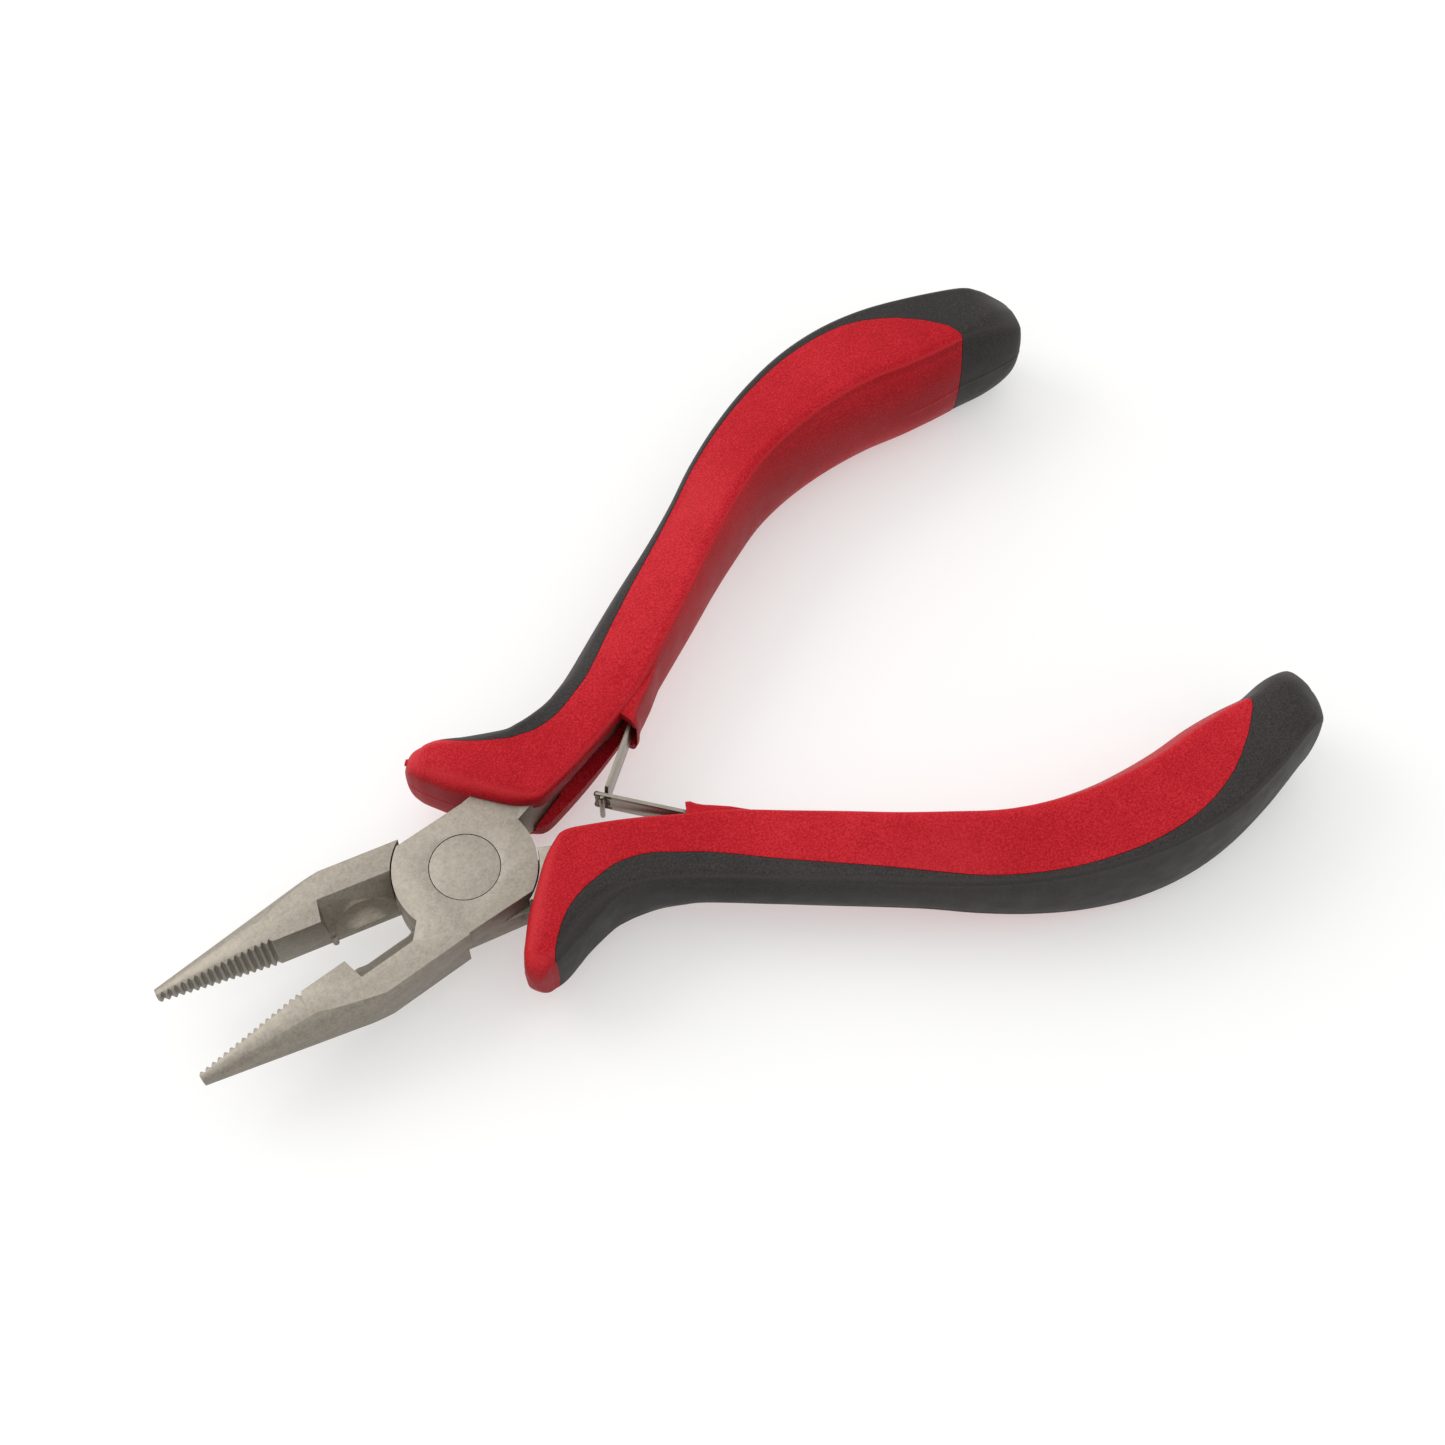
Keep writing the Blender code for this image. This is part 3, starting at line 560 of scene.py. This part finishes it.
def hood_loft(half, side):
    """Flared cover on the inner side, round the spring's root."""
    rings = []
    for x, rise, h in ((23.3, 2.25, 3.75), (23.75, 2.2, 3.85), (24.3, 1.8, 3.8), (25.0, 1.5, 3.75), (26.0, 1.28, 3.7), (27.5, 0.98, 3.65), (29.3, 0.6, 3.6), (31.2, 0.18, 3.5), (33.0, -0.35, 3.4)):
        t = (x - 27.0) / 63.0
        foot = Vector(spline(PALM_IN[half], t * 63.0 / 56.0)) if t >= 0 else Vector((22.6, 6.8)).lerp(Vector(PALM_IN[half][0]), (x - 22.6) / 4.4)
        inward = Vector((0.43, -0.90)) if x < 27 else Vector((0.5, -0.866))
        section = []
        for k in range(25):
            th = math.radians(-90 + 180 * k / 24)
            u = rise * max(0.0, math.cos(th)) ** 0.42 if 0 < k < 24 else -1.0
            q = foot + inward * (u if rise > 0 or not 0 < k < 24 else rise)
            section.append((q.x, q.y * side, h * math.sin(th)))
        rings.append(section)
    return loft("hood", rings)


def leaf_line(half):
    """Root, direction and reach of a leaf, in the frame of the upper handle."""
    root = Vector(LEAF_ROOT)
    cross = Vector((LEAF_CROSS[0], LEAF_CROSS[1] * (1.0 if half == "a" else -1.0)))
    return root, (cross - root).normalized(), (cross - root).length


def build_grip(half):
    side = 1.0 if half == "a" else -1.0
    core = grip_piece(half, "core")
    pad = grip_piece(half, "pad")
    cut(core, hood_loft(half, side), "UNION")
    fit = FIT
    front = [(TANG_IN[0][0] - 6, TANG_IN[0][1] - 6), *[(p[0] + 0.1, p[1] - fit) for p in TANG_IN[1:3]], (14.15, TANG_IN[2][1] + 0.2), (14.15, TANG_OUT[2][1] + 0.5), (TANG_OUT[2][0], TANG_OUT[2][1] + fit), (TANG_OUT[1][0], TANG_OUT[1][1] + fit), (TANG_OUT[0][0] - 6, TANG_OUT[0][1] - 1.2)]
    pocket = prism("pocket", [(x, y * side) for x, y in front], -HEAD_H - fit, HEAD_H + fit)
    cut(pocket, prism("bore", [(x, y * side) for x, y in tang_outline(fit, from_x=9.0)], -TANG_H - fit, TANG_H + fit), "UNION")
    chan = [(9.0, 6.5), (6.0, -1.0), (HOOD_MOUTH_X, 3.0), (HOOD_MOUTH_X, 10.8), (17.0, 8.6)]
    cut(pocket, prism("channel", [(x, y * side) for x, y in chan], -CHANNEL_H, CHANNEL_H), "UNION")
    root, d, _ = leaf_line(half)
    n = Vector((-d.y, d.x))
    if n.y > 0:
        n = -n
    room = [root + d * u + n * v for u, v in ((-1.6, 0.6), (1.6, 0.6), (2.8, 0.74), (4.4, 1.05), (7.0, 1.5), (7.0, -3.2), (-1.6, -2.0))]
    cut(pocket, prism("room", [(q.x, q.y * side) for q in room], -2.1, 2.1), "UNION")
    cut(core, pocket)
    if half == "a":
        # the small gate mark left at the guard's tip
        cut(core, cylinder("gate", GATE, 0.62, -0.8, 0.3, segments=24, radius2=0.36, axis=(-0.72, 0.66, 0.2)), "UNION")
    for o in (core, pad):
        o.data.shade_smooth()
        o.data.set_sharp_from_angle(angle=math.radians(38))
    return core, pad


# ---------------------------------------------------------------- leaves and rivet
def plate(name, outline, p0, d, side, thick=LEAF_T):
    """Plate whose flat outline, in (along, up), stands on the plan line from p0 along d."""
    n = Vector((-d.y, d.x)) * thick / 2
    rings = []
    for s in (1, -1):
        q = []
        for u, z in outline:
            p = p0 + d * u + n * s
            q.append((p.x, p.y * side, z))
        rings.append(q)
    bm = bmesh.new()
    rows = [[bm.verts.new(world(*p)) for p in r] for r in rings]
    m = len(outline)
    for i in range(m):
        bm.faces.new((rows[0][i], rows[0][(i + 1) % m], rows[1][(i + 1) % m], rows[1][i]))
    bm.faces.new(rows[0])
    bm.faces.new(rows[1])
    bmesh.ops.triangulate(bm, faces=[f for f in bm.faces if len(f.verts) > 4])
    return add(name, bm_mesh(name, bm))


def round_bar(name, half, u, z0, z1, radius):
    """Bar with rounded ends, standing across a leaf at the distance u from its root."""
    side = 1.0 if half == "a" else -1.0
    root, d, _ = leaf_line(half)
    p = root + d * u
    rings = []
    for z, r in ((z0, 0.25), (z0 + 0.06, 0.62), (z0 + 0.16, 0.88), (z0 + 0.3, 1.0), (z1 - 0.3, 1.0), (z1 - 0.16, 0.88), (z1 - 0.06, 0.62), (z1, 0.25)):
        rings.append([(p.x + radius * r * math.cos(k * math.pi / 10), p.y * side + radius * r * math.sin(k * math.pi / 10), z) for k in range(20)])
    return loft(name, rings)


def rod(name, half, u0, u1, z, radius):
    """Bar with rounded ends, lying along a leaf."""
    side = 1.0 if half == "a" else -1.0
    root, d, _ = leaf_line(half)
    n = Vector((-d.y, d.x))
    rings = []
    for u, r in ((u0, 0.9), (u1 - 0.3, 1.0), (u1 - 0.14, 0.86), (u1 - 0.04, 0.58), (u1, 0.2)):
        ring_of = []
        for k in range(20):
            th = k * math.pi / 10
            p = root + d * u + n * radius * r * math.cos(th)
            ring_of.append((p.x, p.y * side, z + radius * r * math.sin(th)))
        rings.append(ring_of)
    return loft(name, rings)


def leaf(half):
    side = 1.0 if half == "a" else -1.0
    root, d, reach = leaf_line(half)
    w = LEAF_HALF_W[half]
    back = [(-1.3 + 0.5 * (1 - math.cos(math.radians(t))), w - 0.5 + 0.5 * math.sin(math.radians(t))) for t in (0, 30, 60, 90)]
    if half == "a":
        near, far, s = reach - 0.75, reach + 0.78, STEM_HALF_W
        up = back + [(near - 0.5, w), (near - 0.15, w - 0.12), (near, w - 0.45), (near + 0.02, s + 0.2), (near + 0.2, s), (far, s)]
    else:
        near, far, f = reach - 0.65, reach + 1.05, FORK_HALF_W
        tip = (w - f) / 2
        up = back + [(near - 0.05, w), (near + 0.2, w - 0.06)]
        up += [(far - tip + tip * math.sin(math.radians(t)), f + tip - 0.03 + (tip - 0.03) * math.cos(math.radians(t))) for t in range(0, 181, 20)]
        up += [(near + 0.25, f), (near, f - 0.25), (near - 0.05, f - 0.6)]
    outline = up + [(u, -z) for u, z in reversed(up)]
    made = plate("leaf_" + half, outline, root, d, side)
    if half == "a":
        cut(made, round_bar("cross_bar", half, reach + 0.78, -2.5, 2.5, 0.3), "UNION")
    else:
        for z in (-1.25, 1.25):
            cut(made, rod("prong", half, near - 0.2, far + 0.12, z, 0.335), "UNION")
    return soften(made, 0.07, 2, 40, dissolve=None)


def spring_pin(half):
    """Domed head of the pin that holds a leaf's root."""
    side = 1.0 if half == "a" else -1.0
    root, d, _ = leaf_line(half)
    n = Vector((-d.y, d.x))
    if n.y > 0:
        n = -n
    axis = (n.x, n.y * side, 0)
    made = cylinder("pin_" + half, (root.x, root.y * side, 0), 0.5, -2.6, 0.3, segments=40, axis=axis)
    cut(made, cylinder("head", (root.x, root.y * side, 0), 0.85, 0.24, 0.52, segments=48, radius2=0.55, axis=axis), "UNION")
    return soften(made, 0.05, 2, 30, dissolve=None)


def rivet():
    made = cylinder("rivet_head", (0, 0, 0), RIVET_R, -HEAD_H + 0.0, HEAD_H - 0.0, segments=160)
    return soften(made, 0.06, 2, 40, dissolve=None)


# ---------------------------------------------------------------- materials
def mat(name):
    made = bpy.data.materials.new(name)
    made.use_nodes = True
    tree = made.node_tree
    tree.nodes.clear()
    out = tree.nodes.new("ShaderNodeOutputMaterial")
    shader = tree.nodes.new("ShaderNodeBsdfPrincipled")
    tree.links.new(shader.outputs[0], out.inputs[0])
    return made, tree, shader


def node(tree, kind, **values):
    made = tree.nodes.new(kind)
    for key, value in values.items():
        if key in made.inputs:
            made.inputs[key].default_value = value
        else:
            setattr(made, key, value)
    return made


def mapped(tree, scale, rotation=(0, 0, 0), location=(0, 0, 0)):
    coord = tree.nodes.new("ShaderNodeTexCoord")
    mapping = tree.nodes.new("ShaderNodeMapping")
    mapping.inputs["Scale"].default_value = scale
    mapping.inputs["Rotation"].default_value = rotation
    mapping.inputs["Location"].default_value = location
    tree.links.new(coord.outputs["Object"], mapping.inputs["Vector"])
    return mapping.outputs["Vector"]


def noise(tree, vector, scale=1.0, detail=3.0, rough=0.55, distort=0.0):
    made = tree.nodes.new("ShaderNodeTexNoise")
    made.inputs["Scale"].default_value = scale
    made.inputs["Detail"].default_value = detail
    made.inputs["Roughness"].default_value = rough
    made.inputs["Distortion"].default_value = distort
    tree.links.new(vector, made.inputs["Vector"])
    return made.outputs["Fac"]


def ramp(tree, fac, stops):
    made = tree.nodes.new("ShaderNodeValToRGB")
    while len(made.color_ramp.elements) < len(stops):
        made.color_ramp.elements.new(0.5)
    for e, (pos, col) in zip(made.color_ramp.elements, stops):
        e.position = pos
        e.color = (*col, 1) if len(col) == 3 else col
    tree.links.new(fac, made.inputs["Fac"])
    return made.outputs["Color"]


def remap(tree, fac, lo, hi, to_lo, to_hi):
    made = tree.nodes.new("ShaderNodeMapRange")
    for i, v in zip((1, 2, 3, 4), (lo, hi, to_lo, to_hi)):
        made.inputs[i].default_value = v
    tree.links.new(fac, made.inputs[0])
    return made.outputs[0]


def math_node(tree, op, a, b):
    made = tree.nodes.new("ShaderNodeMath")
    made.operation = op
    for i, v in enumerate((a, b)):
        if isinstance(v, (int, float)):
            made.inputs[i].default_value = v
        else:
            tree.links.new(v, made.inputs[i])
    return made.outputs[0]


def bump(tree, height, strength, distance, normal=None):
    made = tree.nodes.new("ShaderNodeBump")
    made.inputs["Strength"].default_value = strength
    made.inputs["Distance"].default_value = distance
    tree.links.new(height, made.inputs["Height"])
    if normal is not None:
        tree.links.new(normal, made.inputs["Normal"])
    return made.outputs["Normal"]


def painted_side_shade(tree, low, high):
    """From low on upright faces to high on level ones: painted shade that darkens side walls against flat faces."""
    geometry = tree.nodes.new("ShaderNodeNewGeometry")
    split = tree.nodes.new("ShaderNodeSeparateXYZ")
    tree.links.new(geometry.outputs["Normal"], split.inputs[0])
    return remap(tree, math_node(tree, "ABSOLUTE", split.outputs["Z"], 0.0), 0.0, 1.0, low, high)


def tint(tree, colour, value):
    mix = tree.nodes.new("ShaderNodeVectorMath")
    mix.operation = "SCALE"
    tree.links.new(colour, mix.inputs[0])
    tree.links.new(value, mix.inputs["Scale"])
    return mix.outputs[0]


def steel_material(name, jaw_angle=None, base=(0.405, 0.368, 0.312), ground_facet_highlight=None):
    made, tree, shader = mat(name)
    link = tree.links.new
    shader.inputs["Metallic"].default_value = 1.0
    grain = noise(tree, mapped(tree, (1.0, 1.0, 1.0)), 3300, 3, 0.65)
    speck = noise(tree, mapped(tree, (1.0, 1.0, 1.0)), 1300, 2, 0.6)
    blotch = noise(tree, mapped(tree, (1.0, 1.0, 1.0)), 240, 3, 0.55)
    mix = math_node(tree, "ADD", math_node(tree, "MULTIPLY", grain, 0.60), math_node(tree, "ADD", math_node(tree, "MULTIPLY", blotch, 0.10), math_node(tree, "MULTIPLY", speck, 0.30)))
    dark = tuple(v * 0.80 for v in base)
    light = tuple(min(1.0, v * 1.17) for v in base)
    colour = ramp(tree, mix, ((0.36, dark), (0.5, base), (0.64, light)))
    # painted shade: the steel's upright walls are darkened against its flat faces
    level = painted_side_shade(tree, 0.67, 1.0)
    if ground_facet_highlight is not None:
        # the half-moon facets get a painted highlight, brighter than the slope round them, broken by coarse streaks
        geometry = tree.nodes.new("ShaderNodeNewGeometry")
        along_axis = node(tree, "ShaderNodeVectorMath", operation="DOT_PRODUCT")
        along_axis.inputs[1].default_value = ground_facet_highlight
        link(geometry.outputs["Normal"], along_axis.inputs[0])
        streak = noise(tree, mapped(tree, (380, 380, 900)), 1.0, 4, 0.65)
        bright = math_node(tree, "MULTIPLY", remap(tree, along_axis.outputs["Value"], 0.9925, 0.9975, 0.0, 1.0), remap(tree, streak, 0.35, 0.65, 0.42, 0.90))
        level = math_node(tree, "MULTIPLY", level, math_node(tree, "ADD", bright, 1.0))
        # painted highlight along the lap's round edge, on its tilted faces
        spot = node(tree, "ShaderNodeVectorMath", operation="DISTANCE")
        flat = node(tree, "ShaderNodeVectorMath", operation="MULTIPLY")
        flat.inputs[1].default_value = (1.0, 1.0, 0.0)
        coord = tree.nodes.new("ShaderNodeTexCoord")
        link(coord.outputs["Object"], flat.inputs[0])
        link(flat.outputs[0], spot.inputs[0])
        spot.inputs[1].default_value = (PIVOT_X * MM, PIVOT_Y * MM, 0.0)
        split = tree.nodes.new("ShaderNodeSeparateXYZ")
        link(geometry.outputs["Normal"], split.inputs[0])
        tilt = math_node(tree, "MULTIPLY", remap(tree, split.outputs["Z"], 0.15, 0.4, 0.0, 1.0), remap(tree, split.outputs["Z"], 0.9, 0.97, 1.0, 0.0))
        rim_highlight = math_node(tree, "MULTIPLY", remap(tree, spot.outputs["Value"], 7.5 * MM, 7.6 * MM, 0.0, 1.0), remap(tree, spot.outputs["Value"], 7.82 * MM, 7.9 * MM, 1.0, 0.0))
        level = math_node(tree, "MULTIPLY", level, math_node(tree, "ADD", math_node(tree, "MULTIPLY", math_node(tree, "MULTIPLY", tilt, rim_highlight), 0.8), 1.0))
    link(tint(tree, colour, level), shader.inputs["Base Color"])
    link(remap(tree, math_node(tree, "ADD", math_node(tree, "MULTIPLY", grain, 0.6), math_node(tree, "MULTIPLY", blotch, 0.4)), 0.3, 0.7, 0.50, 0.66), shader.inputs["Roughness"])
    normal = bump(tree, grain, 0.30, 0.00005)
    if jaw_angle is not None:
        lines = noise(tree, mapped(tree, (3000, 70, 70), (0, 0, jaw_angle)), 1.0, 3, 0.6)
        coord = tree.nodes.new("ShaderNodeTexCoord")
        split = tree.nodes.new("ShaderNodeSeparateXYZ")
        link(coord.outputs["Object"], split.inputs[0])
        where = remap(tree, split.outputs["X"], (-17.0 + PIVOT_X) * MM, (-21.0 + PIVOT_X) * MM, 0.0, 1.0)
        normal = bump(tree, math_node(tree, "MULTIPLY", lines, where), 0.45, 0.00010, normal)
    link(normal, shader.inputs["Normal"])
    return made


def spring_material():
    made, tree, shader = mat("spring_leaf_steel")
    link = tree.links.new
    shader.inputs["Metallic"].default_value = 1.0
    lines = noise(tree, mapped(tree, (90, 90, 3200)), 1.0, 3, 0.6)
    link(ramp(tree, lines, ((0.3, (0.215, 0.195, 0.160)), (0.7, (0.390, 0.360, 0.305)))), shader.inputs["Base Color"])
    link(remap(tree, lines, 0.3, 0.7, 0.24, 0.40), shader.inputs["Roughness"])
    link(bump(tree, lines, 0.2, 0.00004), shader.inputs["Normal"])
    return made


def plastic_material(name, base, deep, pale, rough_lo, rough_hi, specular, edge, edge_highlight=0.5, grain_scale=4900, grain=0.25):
    made, tree, shader = mat(name)
    link = tree.links.new
    fine = noise(tree, mapped(tree, (1.0, 1.0, 1.0)), grain_scale, 3, 0.6)
    mid = noise(tree, mapped(tree, (1.0, 1.0, 1.0)), 420, 3, 0.55)
    wide = noise(tree, mapped(tree, (1.0, 1.0, 1.0)), 55, 3, 0.5, 0.4)
    mix = math_node(tree, "ADD", math_node(tree, "MULTIPLY", wide, 0.26), math_node(tree, "ADD", math_node(tree, "MULTIPLY", mid, 0.10), math_node(tree, "MULTIPLY", fine, 0.64)))
    colour = ramp(tree, mix, ((0.40, deep), (0.5, base), (0.60, pale)))
    # painted highlight: a paler band on the rounded edges, between the level tops and the upright sides
    geometry = tree.nodes.new("ShaderNodeNewGeometry")
    split = tree.nodes.new("ShaderNodeSeparateXYZ")
    link(geometry.outputs["Normal"], split.inputs[0])
    level = math_node(tree, "ABSOLUTE", split.outputs["Z"], 0.0)
    band = math_node(tree, "MULTIPLY", remap(tree, level, 0.35, 0.72, 0.0, 1.0), remap(tree, level, 0.78, 0.94, 1.0, 0.0))
    edge_highlight_mix = node(tree, "ShaderNodeMix", data_type="RGBA")
    link(math_node(tree, "MULTIPLY", band, edge_highlight), edge_highlight_mix.inputs[0])
    # painted shade: upright sides of the moulding are darkened against its level tops
    link(tint(tree, colour, remap(tree, level, 0.05, 0.62, 0.68, 1.0)), edge_highlight_mix.inputs[6])
    edge_highlight_mix.inputs[7].default_value = (*edge, 1)
    link(edge_highlight_mix.outputs[2], shader.inputs["Base Color"])
    link(remap(tree, math_node(tree, "ADD", math_node(tree, "MULTIPLY", mid, 0.6), math_node(tree, "MULTIPLY", fine, 0.4)), 0.35, 0.65, rough_lo, rough_hi), shader.inputs["Roughness"])
    normal = bump(tree, fine, grain, 0.00005)
    normal = bump(tree, mid, grain * 0.35, 0.00012, normal)
    link(normal, shader.inputs["Normal"])
    shader.inputs["Specular IOR Level"].default_value = specular
    return made


b = math.radians(JAW_OPEN_DEG)
grind_lean = math.atan2(0.40, 1.0)
# normals of the half-moon facets, where the steel gets its painted highlight
ground_facet_highlight = {h: tuple(-jaw_frame(h)[1] * math.cos(grind_lean) + Vector((0, 0, 1)) * math.sin(grind_lean)) for h in ("a", "b")}
steel = {"a": steel_material("steel_a", -b, ground_facet_highlight=ground_facet_highlight["a"]), "b": steel_material("steel_b", b, ground_facet_highlight=ground_facet_highlight["b"])}
rivet_steel = steel_material("rivet_steel", None, (0.400, 0.364, 0.310))
leaf_steel = spring_material()
red = plastic_material("red_moulding", (0.468, 0.0080, 0.0172), (0.356, 0.0024, 0.0068), (0.580, 0.0225, 0.0325), 0.44, 0.58, 0.12, (0.610, 0.036, 0.044), 0.50, grain=0.34)
black = plastic_material("black_moulding", (0.0275, 0.0240, 0.0228), (0.0150, 0.0132, 0.0126), (0.0440, 0.0385, 0.0360), 0.50, 0.66, 0.26, (0.058, 0.052, 0.049), 0.55, grain=0.38)


def dress(obj, material):
    obj.data.materials.clear()
    obj.data.materials.append(material)


# ---------------------------------------------------------------- the pieces
for half in ("a", "b"):
    body = "half_" + half
    made = steel_half(half)
    dress(made, steel[half])
    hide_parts("plier_half_" + half)
    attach(made, body)
    core, pad = build_grip(half)
    dress(core, red)
    dress(pad, black)
    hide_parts("grip_core_" + half)
    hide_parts("grip_pad_" + half)
    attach(core, body)
    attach(pad, body)
    blade = leaf(half)
    dress(blade, leaf_steel)
    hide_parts("leaf_spring_" + half)
    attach(blade, "leaf_" + half)
    head = spring_pin(half)
    dress(head, leaf_steel)
    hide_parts("spring_rivet_" + half)
    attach(head, body)

pin = rivet()
dress(pin, rivet_steel)
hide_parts("joint_rivet")
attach(pin, "half_a")

# ---------------------------------------------------------------- floor, light and camera
bm = bmesh.new()
bmesh.ops.create_grid(bm, x_segments=8, y_segments=8, size=3.0)
floor = bpy.data.objects.new("floor", bm_mesh("floor", bm))
bpy.context.scene.collection.objects.link(floor)
floor.location = (0, 0, -0.00005)
paint, tree, shader = mat("pale_floor")
tone = noise(tree, mapped(tree, (1, 1, 1)), 6, 2, 0.5)
tree.links.new(ramp(tree, tone, ((0.3, (0.60, 0.60, 0.597)), (0.7, (0.62, 0.62, 0.617)))), shader.inputs["Base Color"])
shader.inputs["Roughness"].default_value = 0.9
shader.inputs["Emission Color"].default_value = (1.0, 1.0, 0.995, 1)
shader.inputs["Emission Strength"].default_value = 0.39
shader.inputs["Specular IOR Level"].default_value = 0.1
dress(floor, paint)

sky = bpy.data.worlds.new("studio")
bpy.context.scene.world = sky
sky.use_nodes = True
tree = sky.node_tree
coord = tree.nodes.new("ShaderNodeTexCoord")
lean = tree.nodes.new("ShaderNodeVectorMath")
lean.operation = "DOT_PRODUCT"
lean.inputs[1].default_value = (0.10, 0.42, 0.90)
tree.links.new(coord.outputs["Generated"], lean.inputs[0])
glow = remap(tree, lean.outputs["Value"], -0.25, 0.95, 0.34, 1.17)
tree.nodes["Background"].inputs[0].default_value = (1.0, 0.997, 0.992, 1)
tree.links.new(glow, tree.nodes["Background"].inputs[1])


def soft_box(name, place, size, power, colour=(1, 1, 1)):
    data = bpy.data.lights.new(name, "AREA")
    data.shape = "RECTANGLE"
    data.size, data.size_y = size
    data.energy = power
    data.color = colour
    lamp = bpy.data.objects.new(name, data)
    bpy.context.scene.collection.objects.link(lamp)
    lamp.location = place
    lamp.rotation_mode = "QUATERNION"
    lamp.rotation_quaternion = (Vector((0, 0, 0.005)) - Vector(place)).to_track_quat("-Z", "Y")


soft_box("key", (-0.45, 0.55, 0.60), (0.5, 0.5), 2.2)

cam = bpy.data.cameras.new("camera")
view = bpy.data.objects.new("camera", cam)
bpy.context.scene.collection.objects.link(view)
el, az, roll = math.radians(62.68), math.radians(-32.55), math.radians(1.30)
back = Vector((math.sin(az) * math.cos(el), -math.cos(az) * math.cos(el), math.sin(el)))
right = Vector((math.cos(az), math.sin(az), 0))
upv = back.cross(right)
r2 = right * math.cos(roll) + upv * math.sin(roll)
u2 = upv * math.cos(roll) - right * math.sin(roll)
spot = world(-31.04, -98.94, 231.72)
view.matrix_world = Matrix(((r2.x, u2.x, back.x, spot.x), (r2.y, u2.y, back.y, spot.y), (r2.z, u2.z, back.z, spot.z), (0, 0, 0, 1)))
cam.sensor_width = 36.0
cam.lens = 2341.0 / 1445.0 * 36.0
cam.clip_start, cam.clip_end = 0.01, 10.0
bpy.context.scene.camera = view
bpy.context.scene.view_settings.view_transform = "Standard"
bpy.context.scene.view_settings.look = "None"
